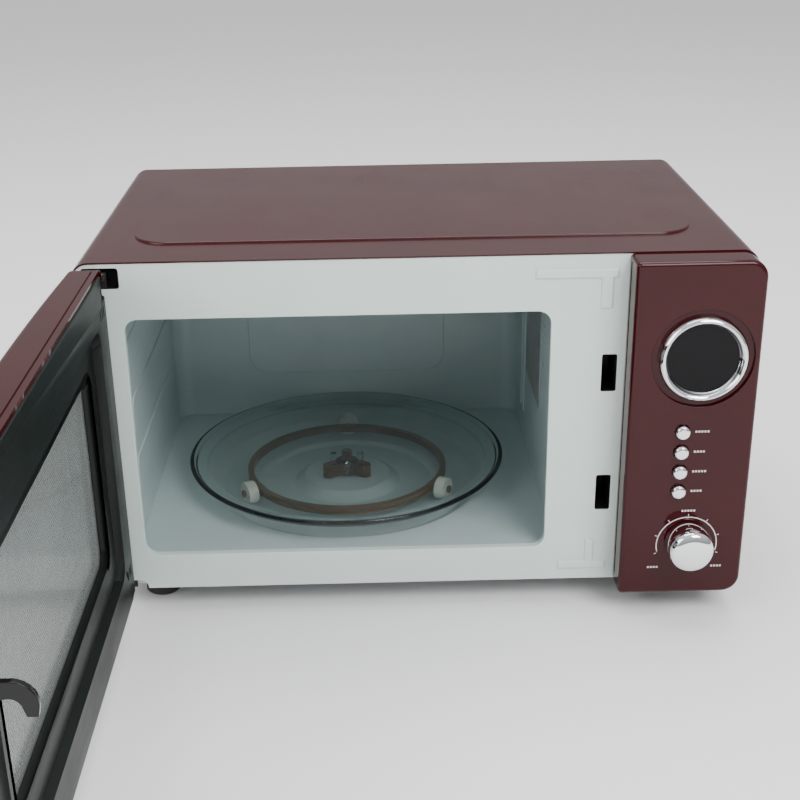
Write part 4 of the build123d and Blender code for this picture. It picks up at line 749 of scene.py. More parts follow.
def makeTurntable():
    s = traySettings
    centre = Vector((turnX, turnY, 0))
    low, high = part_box("drive_coupler")
    topZ = high[2]
    baseZ = topZ - 10 * mm
    coupler = rod("coupler", centre + Vector((0, 0, baseZ)), centre + Vector((0, 0, topZ)), s["hub"], 48)
    for i in range(3):
        turn = pi / 2 + 2 * pi * i / 3
        outward = Vector((cos(turn), sin(turn), 0))
        arm = box("arm", (0, -s["armWidth"] / 2, baseZ), (s["arm"], s["armWidth"] / 2, topZ))
        arm.data.transform(Matrix.Translation(centre) @ Matrix.Rotation(turn, 4, "Z"))
        end = rod("end", centre + outward * s["arm"] + Vector((0, 0, baseZ)),
                  centre + outward * s["arm"] + Vector((0, 0, topZ)),
                  s["armWidth"] / 2, 32)
        fuse(coupler, arm)
        fuse(coupler, end)
    cut(coupler, rod("dimple", centre + Vector((0, 0, topZ - 2 * mm)), centre + Vector((0, 0, topZ + mm)),
                     4 * mm, 40))
    for i in range(3):
        turn = pi / 2 + 2 * pi * i / 3
        outward = Vector((cos(turn), sin(turn), 0))
        pocket = roundBox("pocket", (s["hub"] + mm, -2 * mm, topZ - 1.4 * mm),
                          (s["arm"] + mm, 2 * mm, topZ + mm), 2, 1.6 * mm, 4)
        pocket.data.transform(Matrix.Translation(centre) @ Matrix.Rotation(turn, 4, "Z"))
        cut(coupler, pocket)
    soften(coupler, 0.6 * mm, 3, 45)
    shaft = rod("shaft", centre + Vector((0, 0, low[2] + 0.1 * mm)), centre + Vector((0, 0, baseZ + mm)),
                3.4 * mm, 32)
    bevelEdges(shaft, lambda edge: abs(middle(edge).z - low[2]) < 0.3 * mm, 0.5 * mm, 2)
    finished(joined("coupler", [coupler, shaft]), "driveCoupler", "coupler", couplerBrown, "coupler_brown",
             "drive_coupler")

    low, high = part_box("roller_ring")
    axleZ = joints["ring_roll"]["pos_m"][2]
    half = 3 * mm
    section = [(s["hoopInner"], -half), (s["hoopOuter"], -half), (s["hoopOuter"], -half + 1.6 * mm),
               (s["hoopOuter"] - 1.4 * mm, -half + 2 * mm), (s["hoopOuter"] - 1.4 * mm, half - 2 * mm),
               (s["hoopOuter"], half - 1.6 * mm), (s["hoopOuter"], half), (s["hoopInner"], half)]
    hoop = spun("hoop", rounded(section, 0.5 * mm), centre + Vector((0, 0, axleZ)), steps=144)
    parts = []
    for i in range(3):
        turn = pi / 2 + 2 * pi * i / 3
        outward = Vector((cos(turn), sin(turn), 0))
        base = centre + Vector((0, 0, axleZ))
        axle = rod("axle", base + outward * (s["hoopOuter"] - mm), base + outward * (s["track"] + 6 * mm),
                   s["axle"], 24)
        cap = rod("cap", base + outward * (s["track"] + 4.5 * mm), base + outward * (s["track"] + 6 * mm),
                  s["axle"] + mm, 28)
        pad = roundBox("pad", (s["hoopInner"] - 0.4 * mm, -6 * mm, axleZ - half),
                       (s["hoopOuter"] + 0.5 * mm, 6 * mm, axleZ + half), 2, mm, 3)
        pad.data.transform(Matrix.Translation(centre) @ Matrix.Rotation(turn, 4, "Z"))
        soften(cap, 0.3 * mm, 2)
        soften(pad, 0.4 * mm, 2)
        parts += [axle, cap, pad]
    finished(joined("ring", [hoop] + parts), "rollerRing", "ring", ringBrown, "ring_brown", "roller_ring")

    for i in range(3):
        node = f"roller_wheel_{i + 1}"
        joint = joints[f"wheel_{i + 1}_spin"]
        out = Vector(joint["axis"]).normalized()
        hubAt = Vector(joint["pos_m"])
        radius, wide = 8.5 * mm, 4 * mm
        rim = [(2.06 * mm, -wide), (3.6 * mm, -wide), (3.8 * mm, -wide + 1.4 * mm),
               (radius - 1.8 * mm, -wide + 1.4 * mm),
               (radius - 1.5 * mm, -wide), (radius, -wide), (radius, wide), (radius - 1.5 * mm, wide),
               (radius - 1.8 * mm, wide - 1.4 * mm), (3.8 * mm, wide - 1.4 * mm), (3.6 * mm, wide),
               (2.06 * mm, wide)]
        wheel = spun("wheel", rounded(rim, 0.5 * mm), hubAt, out, steps=56)
        spokes = []
        for k in range(5):
            spoke = box("spoke", (3.5 * mm, -0.5 * mm, -wide + 0.7 * mm),
                        (radius - 1.6 * mm, 0.5 * mm, wide - 0.7 * mm))
            turn = out.to_track_quat("Z", "Y").to_matrix().to_4x4()
            spoke.data.transform(Matrix.Translation(hubAt) @ turn @ Matrix.Rotation(2 * pi * k / 5, 4, "Z"))
            spokes.append(spoke)
        finished(joined("wheel", [wheel] + spokes), f"rollerWheel{i + 1}", f"wheel_{i + 1}", rollerWhite,
                 "roller_white", node)

    low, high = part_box("glass_turntable")
    reach = (high[0] - low[0]) / 2
    bottom = high[2] - 8 * mm
    wall = s["glassWall"]
    dish = [(0, bottom), (s["foot"] - 3 * mm, bottom), (reach - 12 * mm, bottom),
            (reach - 5 * mm, bottom + 1.6 * mm),
            (reach - 0.6 * mm, bottom + 5.4 * mm), (reach, high[2] - 0.8 * mm), (reach - 0.8 * mm, high[2]),
            (reach - wall + 0.8 * mm, high[2]), (reach - wall - 0.4 * mm, high[2] - 1.4 * mm),
            (reach - wall - 5 * mm, bottom + wall + 1.2 * mm), (reach - wall - 10 * mm, bottom + wall),
            (0, bottom + wall)]
    glass = spun("glass", rounded(dish, 0.8 * mm), centre, steps=160)
    lugs = []
    for i in range(3):
        turn = radians(30) + 2 * pi * i / 3
        at = centre + Vector((cos(turn), sin(turn), 0)) * s["arm"] * 0.72
        lug = rod("lug", at + Vector((0, 0, low[2])), at + Vector((0, 0, bottom + 0.5 * mm)), 2.2 * mm, 24,
                  2.6 * mm)
        soften(lug, 0.5 * mm, 3)
        lugs.append(lug)
    finished(joined("glass", [glass] + lugs), "glassTray", "glass", clearGlass, "clear_glass",
             "glass_turntable")


makeTurntable()
print("turntable made")

# control panel, display, keys, dial and printed marks
panelSettings = {
    "wall": 2.5 * mm, "rightCorner": 12 * mm, "leftCorner": 3 * mm, "edge": 5 * mm,
    "recess": 33.7 * mm, "recessDepth": 2.2 * mm, "lensRadius": 23.2 * mm, "bezelRadius": 29.2 * mm,
    "keyRadius": 4.9 * mm, "dialRadius": 15.5 * mm, "arcRadius": 20.7 * mm, "arcWidth": 0.7 * mm,
    "ink": 0.06 * mm,
}
displayAt = Vector(((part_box("display_bezel")[0][0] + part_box("display_bezel")[1][0]) / 2, 0,
                    (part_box("display_bezel")[0][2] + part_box("display_bezel")[1][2]) / 2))
dialAt = Vector(joints["dial_turn"]["pos_m"])
keyBoxes = [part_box(f"button_{i + 1}") for i in range(4)]
keyX = (keyBoxes[0][0][0] + keyBoxes[0][1][0]) / 2
keyZ = [(low[2] + high[2]) / 2 for low, high in keyBoxes]


def moulding(name, low, high, s, bigSide, crown=0.0):
    piece = box(name, low, high)
    big = (lambda x: x > (low.x + high.x) / 2) if bigSide > 0 else (lambda x: x < (low.x + high.x) / 2)
    bevelEdges(piece, lambda edge: along(edge, 1) and big(middle(edge).x), s["rightCorner"], 10)
    bevelEdges(piece, lambda edge: along(edge, 1) and not big(middle(edge).x)
               and (edge.verts[0].co - edge.verts[1].co).length > 10 * mm and len(edge.link_faces) == 2
               and abs(abs(edge.link_faces[0].normal.x) - abs(edge.link_faces[1].normal.x)) > 0.9,
               s["leftCorner"], 5)
    bevelEdges(piece, lambda edge: all(abs(v.co.y - low.y) < 0.01 * mm for v in edge.verts), s["edge"], 8)
    if crown:
        width, depth = high.x - low.x, high.y - low.y
        for i in range(1, s["strips"]):
            share = i / s["strips"]
            edit(piece)
            bpy.ops.mesh.select_all(action="SELECT")
            bpy.ops.mesh.bisect(plane_co=(low.x + width * share, 0, 0), plane_no=(1, 0, 0))
            bpy.ops.mesh.select_all(action="SELECT")
            bpy.ops.mesh.bisect(plane_co=(0, 0, low.z + (high.z - low.z) * share), plane_no=(0, 0, 1))
            done()
        radius = (width ** 2 / 4 + crown ** 2) / (2 * crown)
        for vertex in piece.data.vertices:
            off = vertex.co.x - (low.x + width / 2)
            bulge = sqrt(max(radius ** 2 - off ** 2, 0)) - (radius - crown)
            share = min(max((high.y - vertex.co.y) / depth, 0), 1)
            vertex.co.y -= bulge * share ** 2
    edit(piece)
    pick(piece, lambda face: face.normal.y > 0.9 and face.calc_center_median().y > high.y - 0.01 * mm)
    bpy.ops.mesh.delete(type="FACE")
    done()
    modifier = piece.modifiers.new("wall", "SOLIDIFY")
    modifier.thickness, modifier.offset, modifier.use_even_offset = s["wall"], -1, True
    applyAll(piece)
    return piece


def ink(name, radius, start, stop, centre, width, y):
    count = max(6, int(abs(stop - start) / 0.06))
    step = (stop - start) / count
    last = start + step
    bpy.ops.object.select_all(action="DESELECT")
    bpy.ops.mesh.primitive_cube_add(size=1, location=(centre.x, y, centre.z))
    piece = bpy.context.object
    bpy.ops.object.transform_apply(location=True, rotation=True, scale=True)
    for vertex in piece.data.vertices:
        side = 0.5 if vertex.co.x > centre.x else -0.5
        reach = radius + side * width
        depth = y if vertex.co.y > y else y - panelSettings["ink"]
        turn = start if vertex.co.z < centre.z else last
        vertex.co = (centre.x + reach * cos(turn), depth, centre.z + reach * sin(turn))
    edit(piece)
    face = Vector((-sin(last), 0, cos(last))) * (1 if stop > start else -1)
    pick(piece, lambda item: item.normal.dot(face) > 0.99)
    for _ in range(count - 1):
        bpy.ops.mesh.extrude_region_move()
        bpy.ops.transform.rotate(value=step, orient_axis="Y", center_override=(centre.x, y, centre.z))
    bpy.ops.mesh.select_all(action="SELECT")
    bpy.ops.mesh.normals_make_consistent(inside=False)
    done()
    piece.name = name
    return piece


def makePanel():
    s = panelSettings
    low, high = panelLow.copy(), panelHigh.copy()
    panel = moulding("panel", low, high, s, 1)
    face = low.y
    ringBack = rod("ringBack", displayAt + Vector((0, face + 1.5 * mm, 0)),
                   displayAt + Vector((0, face + 5 * mm, 0)),
                   s["recess"] + 3 * mm, 96)
    fuse(panel, ringBack)
    cutters = [
        rod("recess", displayAt + Vector((0, face - 2 * mm, 0)),
            displayAt + Vector((0, face + s["recessDepth"], 0)), s["recess"], 96),
        rod("window", displayAt + Vector((0, face - 2 * mm, 0)), displayAt + Vector((0, face + 12 * mm, 0)),
            s["lensRadius"] - 2 * mm, 96),
        rod("shaftHole", (dialAt.x, face - 2 * mm, dialAt.z), (dialAt.x, face + 9 * mm, dialAt.z), 4 * mm,
            40),
        box("groove", (low.x - mm, frontY - 6.5 * mm, low.z + 8 * mm),
            (low.x + 1.2 * mm, frontY - 3.5 * mm, high.z - 4 * mm)),
    ]
    for z in keyZ:
        cutters.append(rod("keyHole", (keyX, face - 2 * mm, z), (keyX, face + 9 * mm, z),
                           s["keyRadius"] + 0.25 * mm, 40))
    for cutter in cutters:
        cut(panel, cutter)
    edit(panel, "EDGE")
    pick(panel, lambda edge: all(v.co.y < face + 0.02 * mm for v in edge.verts)
         and (abs((middle(edge) - displayAt).xz.length - s["recess"]) < 0.4 * mm
              or any(abs(Vector((middle(edge).x - keyX,
                                 middle(edge).z - z)).length - s["keyRadius"]) < 0.4 * mm for z in keyZ)),
                                 "edges")
    bpy.ops.mesh.bevel(offset=0.45 * mm, segments=3, affect="EDGES")
    done()
    finished(panel, "controlPanel", "cabinet", glossBurgundy, "panel_plastic", "control_panel")

    seat = face + s["recessDepth"]
    ring = [(s["lensRadius"], 0), (s["bezelRadius"], 0), (s["bezelRadius"] + 0.1 * mm, 3.2 * mm),
            (s["bezelRadius"] - 1.1 * mm, 5.4 * mm), (s["bezelRadius"] - 2.7 * mm, 6.5 * mm),
            (s["lensRadius"] + 1.8 * mm, 5.4 * mm), (s["lensRadius"] + 0.7 * mm, 3.4 * mm),
            (s["lensRadius"], 2.4 * mm)]
    bezel = spun("bezel", rounded(ring, 0.7 * mm, 4), displayAt + Vector((0, seat, 0)), (0, -1, 0), 128)
    finished(bezel, "displayBezel", "cabinet", mirrorChrome, "chrome", "display_bezel", angle=60)
    glass = [(0, 0), (s["lensRadius"] - 0.1 * mm, 0), (s["lensRadius"] - 0.1 * mm, 1.7 * mm),
             (s["lensRadius"] * 0.6, 2.15 * mm), (0, 2.2 * mm)]
    lens = spun("lens", glass, displayAt + Vector((0, seat, 0)), (0, -1, 0), 96)
    finished(lens, "displayLens", "cabinet", darkLens, "dark_lens", "display_lens", angle=60)

    for i, (low, high) in enumerate(keyBoxes):
        centre = Vector((keyX, high[1], keyZ[i]))
        front = high[1] - low[1]
        outline = [(0, 0), (s["keyRadius"], 0), (s["keyRadius"], 2 * mm), (s["keyRadius"] + 1.2 * mm, 2 * mm),
                   (s["keyRadius"] + 1.2 * mm, 3.9 * mm), (s["keyRadius"], 4 * mm),
                   (s["keyRadius"], front - 1.6 * mm),
                   (s["keyRadius"] - 0.8 * mm, front - 0.5 * mm), (s["keyRadius"] - 2.0 * mm, front),
                   (0, front)]
        key = spun("key", rounded(outline, 0.4 * mm), centre, (0, -1, 0), 64)
        finished(key, f"key{i + 1}", f"key_{i + 1}", mirrorChrome, "chrome", f"button_{i + 1}", angle=50)

    low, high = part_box("dial_knob")
    back = face - 1 * mm
    out = back - low[1]
    radius = s["dialRadius"]
    dome = [(0, -(high[1] - back)), (3 * mm, -(high[1] - back)), (3 * mm, 0), (radius - 0.8 * mm, 0),
            (radius, 0.8 * mm),
            (radius, out * 0.55), (radius * 0.985, out * 0.7), (radius * 0.93, out * 0.83),
            (radius * 0.82, out * 0.92),
            (radius * 0.6, out * 0.975), (radius * 0.3, out), (0, out)]
    knob = spun("knob", dome, (dialAt.x, back, dialAt.z), (0, -1, 0), 112)
    finished(knob, "dialKnob", "dial", mirrorChrome, "chrome", "dial_knob", angle=50)
    print("knob and keys made")

    marks = []
    centre = Vector((dialAt.x, 0, dialAt.z - 2.8 * mm))
    marks.append(ink("arc", s["arcRadius"], radians(198), radians(-18), centre, s["arcWidth"], face))
    for angle in (198, 162, 126, 90, 54, 18, -18):
        turn = radians(angle)
        at = centre + Vector((cos(turn), 0, sin(turn))) * (s["arcRadius"] + 1.6 * mm)
        tick = box("tick", (-0.8 * mm, -s["ink"], -0.25 * mm), (0.8 * mm, 0, 0.25 * mm))
        tick.data.transform(Matrix.Translation((at.x, face, at.z)) @ Matrix.Rotation(-turn, 4, "Y"))
        marks.append(tick)
    rows = [(keyX + 8.5 * mm, z, length) for z, length in zip(keyZ, (11, 9, 10, 8))]
    for x, z, length in rows:
        for k in range(length // 2):
            dash = box("dash", (x + 2 * k * mm, face - s["ink"], z - 0.7 * mm),
                       (x + (2 * k + 1.3) * mm, face, z + 0.7 * mm))
            marks.append(dash)
    for side in (-1, 1):
        for k in range(4):
            x = dialAt.x + side * 22 * mm + (k - 2) * 2 * mm
            marks.append(box("dash", (x, face - s["ink"], dialAt.z - 21 * mm),
                             (x + 1.3 * mm, face, dialAt.z - 19.6 * mm)))
    for k in range(5):
        x = dialAt.x + (k - 2.5) * 2 * mm
        marks.append(box("dash", (x, face - s["ink"], dialAt.z + 22.2 * mm),
                         (x + 1.3 * mm, face, dialAt.z + 23.6 * mm)))
    for mark in marks:
        mark.data.transform(Matrix.Translation((0, -0.01 * mm, 0)))
    finished(joined("marks", marks), "printedMarks", "cabinet", printWhite, "panel_plastic")


makePanel()
print("control panel made")

# door, drawn closed in its own plane and then turned to stand open
doorSettings = {
    "wall": 2.5 * mm, "rightCorner": 12 * mm, "leftCorner": 3 * mm, "edge": 5 * mm, "crown": 5 * mm,
    "strips": 24,
    "rim": 2.5 * mm, "depth": 22.3 * mm, "band": 31 * mm, "slope": 4 * mm, "secondBand": 15 * mm,
    "firstDepth": 1.5 * mm, "secondDepth": 6.5 * mm, "thirdDepth": 10.5 * mm, "skin": 2.5 * mm,
    "holePitch": 2.4 * mm, "holeSize": 1.55 * mm,
}
hingeLocal = Vector((11 * mm, -13.5 * mm))


def cornerCut(piece, room=12.8 * mm):
    swing = rod("swing", (hingeLocal.x, hingeLocal.y, 0.0), (hingeLocal.x, hingeLocal.y, 0.4), room, 96)
    block = box("block", (-4 * mm, hingeLocal.y, 0.001), (hingeLocal.x, 4 * mm, 0.399))
    cut(block, swing)
    cut(piece, block)


def makeShell():
    s = doorSettings
    low = Vector((0, -s["depth"], shellLow.z))
    high = Vector((doorWidth, -s["rim"], shellHigh.z))
    shell = moulding("shell", low, high, s, -1, s["crown"])
    margin = s["band"] + 2 * s["slope"] + s["secondBand"] - 4 * mm + 6 * mm
    window = roundBox("window", (margin, -60 * mm, shellLow.z + margin),
                      (doorWidth - margin, -15 * mm, shellHigh.z - margin),
                      1, 16 * mm, 10)
    cut(shell, window)
    bandY = -s["rim"] - 4.2 * mm
    for z in (shellLow.z, shellHigh.z):
        cut(shell, box("shadowLine", (13 * mm, bandY - 0.6 * mm, z - 0.9 * mm), (doorWidth - 13 * mm,
            bandY + 0.6 * mm, z + 0.9 * mm)))
    handleLow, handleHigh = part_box("handle_screws")
    for z in (handleLow[2] + 4 * mm, handleHigh[2] - 4 * mm):
        u = shellHigh.y - (handleLow[1] + handleHigh[1]) / 2
        cut(shell, rod("screwHole", (u, -40 * mm, z), (u, -10 * mm, z), 1.8 * mm, 24))
    cornerCut(shell)
    soften(shell, 0.2 * mm, 2, 60)
    finished(toDoor(shell), "doorShell", "door", glossBurgundy, "panel_plastic", "door_outer_shell")


def insetBox(name, inset, near, far, corner, segments=8):
    return roundBox(name, (inset, -far, shellLow.z + inset),
                    (doorWidth - inset, -near, shellHigh.z - inset), 1, corner, segments)


def makeInnerFrame():
    s = doorSettings
    inset = s["wall"] + 0.2 * mm
    body = box("frame", (inset, -s["firstDepth"] - s["skin"], shellLow.z + inset),
               (doorWidth - inset, -s["firstDepth"], shellHigh.z - inset))
    bevelEdges(body, lambda edge: along(edge, 1) and middle(edge).x < 50 * mm, 9.3 * mm, 8)
    bevelEdges(body, lambda edge: middle(edge).y > -s["firstDepth"] - 0.1 * mm, 0.8 * mm, 3)
    well = box("well", (s["band"] - s["skin"], -s["thirdDepth"] - 1.6 * mm,
                        shellLow.z + s["band"] - s["skin"]),
               (doorWidth - s["band"] + s["skin"], -s["firstDepth"] - 0.2 * mm,
                shellHigh.z - s["band"] + s["skin"]))
    bevelEdges(well, lambda edge: along(edge, 1), 12 * mm, 8)
    fuse(body, well)
    steps = ((s["band"], 0, s["secondDepth"], s["slope"]),
             (s["band"] + s["slope"] + s["secondBand"], s["secondDepth"] - mm, s["thirdDepth"], s["slope"]))
    for outerInset, near, far, slope in steps:
        top = s["firstDepth"] if near == 0 else s["secondDepth"]
        step = insetBox("step", outerInset, 0 if near == 0 else top, far, 12 * mm)
        centre = Vector((doorWidth / 2, 0, doorMid))
        shrink = Vector(((doorWidth / 2 - outerInset - slope) / (doorWidth / 2 - outerInset), 1,
                         (shellHigh.z - doorMid - outerInset - slope) / (shellHigh.z - doorMid - outerInset)))
        for vertex in step.data.vertices:
            if vertex.co.y < -far + 0.01 * mm:
                offset = vertex.co - centre
                vertex.co = centre + Vector((offset.x * shrink.x, offset.y, offset.z * shrink.z))
        if near == 0:
            for vertex in step.data.vertices:
                if vertex.co.y > -0.01 * mm:
                    vertex.co.y = -top + 0.01 * mm
            lift = insetBox("lift", outerInset, 0, top, 12 * mm)
            cut(body, lift)
        cut(body, step)
    opening = s["band"] + 2 * s["slope"] + s["secondBand"]
    cut(body, insetBox("opening", opening, 0, 30 * mm, 9 * mm))
    hookLow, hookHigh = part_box("door_latch")
    u = shellHigh.y - (hookLow[1] + hookHigh[1]) / 2
    for z in hookZ:
        cut(body, roundBox("hookSlot", (u - 3 * mm, -8 * mm, z - 13 * mm), (u + 3 * mm, 2 * mm,
            z + 13 * mm), 1, 1 * mm, 3))
    cut(body, box("hingePocket", (-2 * mm, -6.2 * mm, shellHigh.z - 19 * mm), (15 * mm, mm,
        shellHigh.z + mm)))
    for k in range(3):
        x = 13 * mm + k * 5 * mm
        cut(body, roundBox("clipSlot", (x, -2.6 * mm, shellHigh.z - 30 * mm), (x + 2.4 * mm, mm,
            shellHigh.z - 22 * mm), 1, 0.6 * mm, 2))
        cut(body, roundBox("clipSlot", (x, -2.6 * mm, shellLow.z + 22 * mm), (x + 2.4 * mm, mm,
            shellLow.z + 30 * mm), 1, 0.6 * mm, 2))
    cornerCut(body)
    bosses = []
    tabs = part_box("hinge_brackets")
    upperTab, lowerTab = tabs[1][2] - 8 * mm, tabs[0][2]
    for z0, z1 in ((upperTab - 1.2 * mm, upperTab + 3.5 * mm), (shellLow.z - mm, lowerTab + 3.2 * mm)):
        cut(body, box("tabRoom", (-2 * mm, -19.6 * mm, z0), (17 * mm, 2 * mm, z1)))
    for z in (upperTab - 1.2 * mm - 8.4 * mm, lowerTab + 3.2 * mm):
        boss = roundBox("boss", (4.2 * mm, -19.4 * mm, z), (16.2 * mm, -5 * mm, z + 8.4 * mm), 2, 2 * mm, 4)
        cut(boss, rod("pinHole", (hingeLocal.x, hingeLocal.y, z - mm), (hingeLocal.x, hingeLocal.y,
            z + 10 * mm), 2.56 * mm, 40))
        bosses.append(boss)
    soften(body, 0.3 * mm, 2, 50)
    frameBody = joined("frame", [body] + bosses)
    finished(toDoor(frameBody), "doorFrame", "door", frameBlack, "black_plastic", "door_inner_frame")


def makeScreen():
    s = doorSettings
    low, high = [Vector(corner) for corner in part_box("door_screen")]
    width, height = high.y - low.y - 2 * mm, high.z - low.z - 2 * mm
    u0, z0 = shellHigh.y - high.y + mm, low.z + mm
    y = low.x - doorPlace.x
    pitch = s["holePitch"]
    rise = pitch * sqrt(3) / 2
    columns, rows = int(width / pitch), int(height / (2 * rise))
    bpy.ops.object.select_all(action="DESELECT")
    bpy.ops.mesh.primitive_circle_add(vertices=6, radius=pitch / sqrt(3), fill_type="NGON",
                                      location=(0, 0, 0),
                                      rotation=(pi / 2, 0, 0))
    cell = bpy.context.object
    bpy.ops.object.transform_apply(location=True, rotation=True, scale=True)
    edit(cell)
    bpy.ops.mesh.select_all(action="SELECT")
    bpy.ops.mesh.inset(thickness=(pitch - s["holeSize"]) / 2)
    bpy.ops.mesh.delete(type="FACE")
    done()
    second = cell.copy()
    second.data = cell.data.copy()
    bpy.context.scene.collection.objects.link(second)
    second.data.transform(Matrix.Translation((pitch / 2, 0, rise)))
    screen = joined("screen", [cell, second])
    screen.data.transform(Matrix.Translation((u0 + pitch / 2, y, z0 + pitch / sqrt(3))))
    repeat(screen, columns, (pitch, 0, 0))
    repeat(screen, rows, (0, 0, 2 * rise))
    edit(screen)
    bpy.ops.mesh.select_all(action="SELECT")
    bpy.ops.mesh.remove_doubles(threshold=0.00003)
    done()
    border = box("border", (u0 - 2 * mm, y - 0.15 * mm, z0 - 2 * mm),
                 (u0 + width + 2 * mm, y + 0.05 * mm, z0 + height + 2 * mm))
    cut(border, roundBox("gap", (u0 + pitch, y - 2 * mm, z0 + pitch), (u0 + columns * pitch - pitch * 0.5,
        y + 2 * mm,
                                                                      z0 + rows * 2 * rise - pitch * 0.5),
                                                                      1, 3 * mm, 4))
    finished(toDoor(joined("screen", [screen, border])), "doorScreen", "door", screenBlack, "black_steel",
             "door_screen")

    low, high = [Vector(corner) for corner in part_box("door_inner_film")]
    u0, u1 = shellHigh.y - high.y, shellHigh.y - low.y
    y = low.x - doorPlace.x
    film = roundBox("film", (u0, y, low.z), (u1, y + (high.x - low.x), high.z), 1, 6 * mm, 6)
    bevelEdges(film, lambda edge: not along(edge, 1) and len(edge.link_faces) == 2, 0.08 * mm, 1)
    finished(toDoor(film), "doorFilm", "door", clearFilm, "film", "door_inner_film")


def makeHandle():
    low, high = [Vector(corner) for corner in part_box("door_handle")]
    radius = 6.5 * mm
    x = low.x + radius
    y = (low.y + high.y) / 2
    bar = rod("bar", (x, y, low.z), (x, y, high.z), radius, 56)
    bevelEdges(bar, lambda edge: abs(middle(edge).z - low.z) < 0.1 * mm
               or abs(middle(edge).z - high.z) < 0.1 * mm, 4.5 * mm, 8)
    for z in (low.z + 12 * mm, high.z - 12 * mm):
        post = rod("post", (x, y, z), (high.x, y, z), 5 * mm, 44)
        flange = rod("flange", (high.x - 2.2 * mm, y, z), (high.x, y, z), 6.4 * mm, 44, 7.2 * mm)
        fuse(bar, post)
        fuse(bar, flange)
    soften(bar, 0.8 * mm, 3, 40)
    finished(bar, "doorHandle", "door", mirrorChrome, "chrome", "door_handle", angle=45)


def makeLatch():
    source = bpy.data.objects["door_latch"]
    latch = source.copy()
    latch.data = source.data.copy()
    latch.parent = None
    latch.matrix_world = Matrix.Identity(4)
    bpy.context.scene.collection.objects.link(latch)
    edit(latch)
    bpy.ops.mesh.select_all(action="SELECT")
    bpy.ops.mesh.remove_doubles(threshold=0.00001)
    bpy.ops.mesh.dissolve_limited(angle_limit=radians(2))
    done()
    soften(latch, 0.5 * mm, 3, 50)
    finished(latch, "doorLatch", "latch", glossBlack, "black_plastic", "door_latch")


makeShell()
print("door shell made")
makeInnerFrame()
print("inner frame made")
makeScreen()
makeHandle()
makeLatch()
print("door made")

# feet
footSettings = {"sole": 13 * mm, "socket": 5.5 * mm, "socketDepth": 6 * mm, "top": 10.4 * mm}


def makeFeet():
    s = footSettings
    low, high = [Vector(corner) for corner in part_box("feet")]
    parts = []
    for x in (low.x + s["sole"], high.x - s["sole"]):
        for y in (low.y + s["sole"], high.y - s["sole"]):
            outline = [(1.9 * mm, s["socketDepth"]), (s["socket"], s["socketDepth"]), (s["socket"], 0.4 * mm),
                       (s["socket"] + 0.5 * mm, 0), (7.6 * mm, 0), (7.9 * mm, 0.7 * mm),
                       (8.6 * mm, 0.7 * mm), (8.9 * mm, 0),
                       (s["sole"] - 1.2 * mm, 0), (s["sole"], 1.2 * mm), (s["sole"] - 0.4 * mm, 5 * mm),
                       (s["sole"] - 1.2 * mm, 5.6 * mm), (s["top"] + 0.6 * mm, 14 * mm), (s["top"], high.z),
                       (1.9 * mm, high.z)]
            parts.append(spun("foot", rounded(outline, 0.4 * mm), (x, y, 0), steps=56))
    finished(joined("feet", parts), "rubberFeet", "cabinet", footRubber, "foot_rubber", "feet", angle=45)


makeFeet()
print("feet made")

# pieces that keep their drawn shape get their finishes here
nodeFinishes = {
    "zincSheet": (zincSheet, ["base_plate", "rear_panel", "capacitor_bracket", "waveguide", "lamp_holder",
                              "hv_transformer"]),
    # The hinge brackets take the satin black finish as painted shade: the dark bracket stands for the shadow in
    # the hinge pocket.
    "satinBlack": (satinBlack, ["hinge_brackets", "rear_spacers", "interlock_bracket", "microswitches",
                                "cord_gland", "dial_encoder"]),
    "brightZinc": (brightZinc, ["case_screws", "handle_screws", "hinge_screw"]),
    "micaBoard": (micaBoard, ["waveguide_cover"]),
    "pressedSteel": (pressedSteel, ["magnetron"]),
    "canAluminium": (canAluminium, ["hv_capacitor", "turntable_motor"]),
    "whiteMoulding": (whiteMoulding, ["fan_housing", "fan_blade", "thermal_cutout", "key_switches",
                                      "hv_diode"]),
    "coreIron": (coreIron, ["fan_motor"]),
    "bulbGlass": (bulbGlass, ["cavity_lamp"]),
    "boardGreen": (boardGreen, ["display_board", "control_board", "noise_filter"]),
    "screenBlack": (screenBlack, ["door_mesh_plate"]),
    "smokedPane": (smokedPane, ["door_window_pane"]),
    "springWire": (springWire, ["latch_spring"]),
}
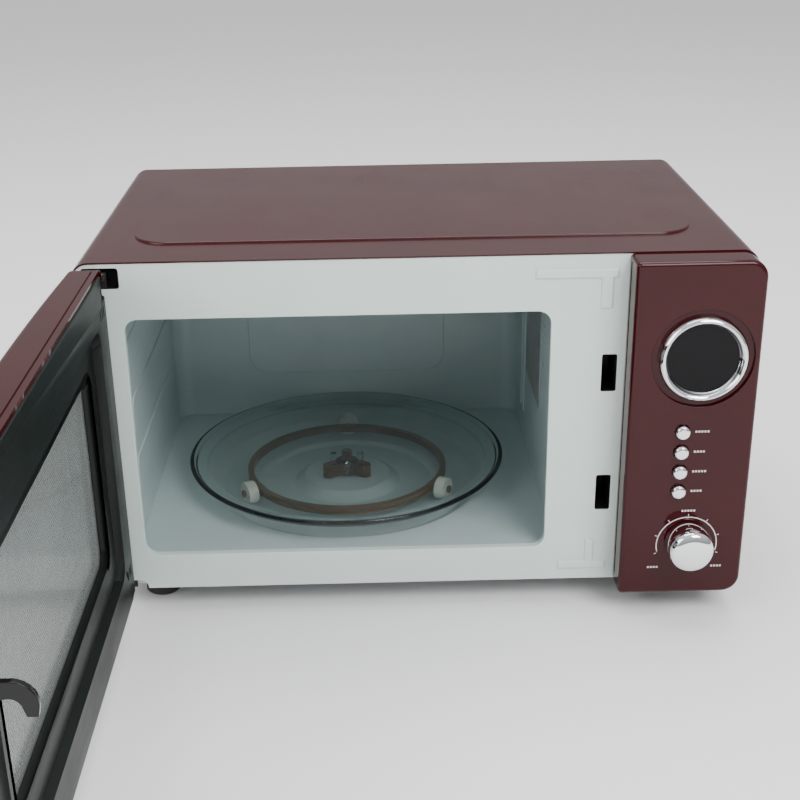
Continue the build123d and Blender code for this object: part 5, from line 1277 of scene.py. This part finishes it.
for material, nodes in nodeFinishes.values():
    for node in nodes:
        piece = frame["nodes"][node]
        for material_slot in piece.material_slots:
            material_slot.material = material
print("drawn pieces finished")

# floor, world and lights
studio = {"horizon": 0.38, "zenith": 0.85, "key": 38.0, "fill": 18.0, "top": 30.0}


def makeStudio():
    bpy.ops.object.select_all(action="DESELECT")
    bpy.ops.mesh.primitive_plane_add(size=14, location=(0, 0, 0))
    floor = bpy.context.object
    floor.name = "studioFloor"
    material = bpy.data.materials.new("floorPaint")
    material.use_nodes = True
    shader = material.node_tree.nodes["Principled BSDF"]
    shader.inputs["Base Color"].default_value = (0.93, 0.93, 0.93, 1)
    shader.inputs["Roughness"].default_value = 0.85
    floor.data.materials.append(material)
    world = bpy.data.worlds.new("studioWorld")
    bpy.context.scene.world = world
    world.use_nodes = True
    back = world.node_tree.nodes["Background"]
    back.inputs["Color"].default_value = (1, 1, 1, 1)
    parts = world.node_tree.nodes.new("ShaderNodeSeparateXYZ")
    world.node_tree.links.new(world.node_tree.nodes.new("ShaderNodeTexCoord").outputs["Generated"],
                              parts.inputs[0])
    height = ramp(world.node_tree, parts.outputs["Z"], 0.05, 0.75)
    level = math(world.node_tree, "MULTIPLY_ADD", height, studio["zenith"] - studio["horizon"],
                 studio["horizon"])
    seen = world.node_tree.nodes.new("ShaderNodeLightPath").outputs["Is Camera Ray"]
    world.node_tree.links.new(math(world.node_tree, "MULTIPLY_ADD", seen, 0.45, level),
                              back.inputs["Strength"])
    for name, place, size, power in (
        ("keyLight", (0.9, -1.5, 1.7), 1.1, studio["key"]),
        ("fillLight", (-1.4, -1.2, 1.0), 1.2, studio["fill"]),
        ("topLight", (0.0, 0.3, 2.0), 1.4, studio["top"]),
    ):
        data = bpy.data.lights.new(name, "AREA")
        data.energy, data.size = power, size
        lamp = bpy.data.objects.new(name, data)
        lamp.location = place
        aim = Vector((0, -0.1, 0.12)) - Vector(place)
        lamp.rotation_euler = aim.to_track_quat("-Z", "Y").to_euler()
        bpy.context.scene.collection.objects.link(lamp)


makeStudio()
print("studio ready")
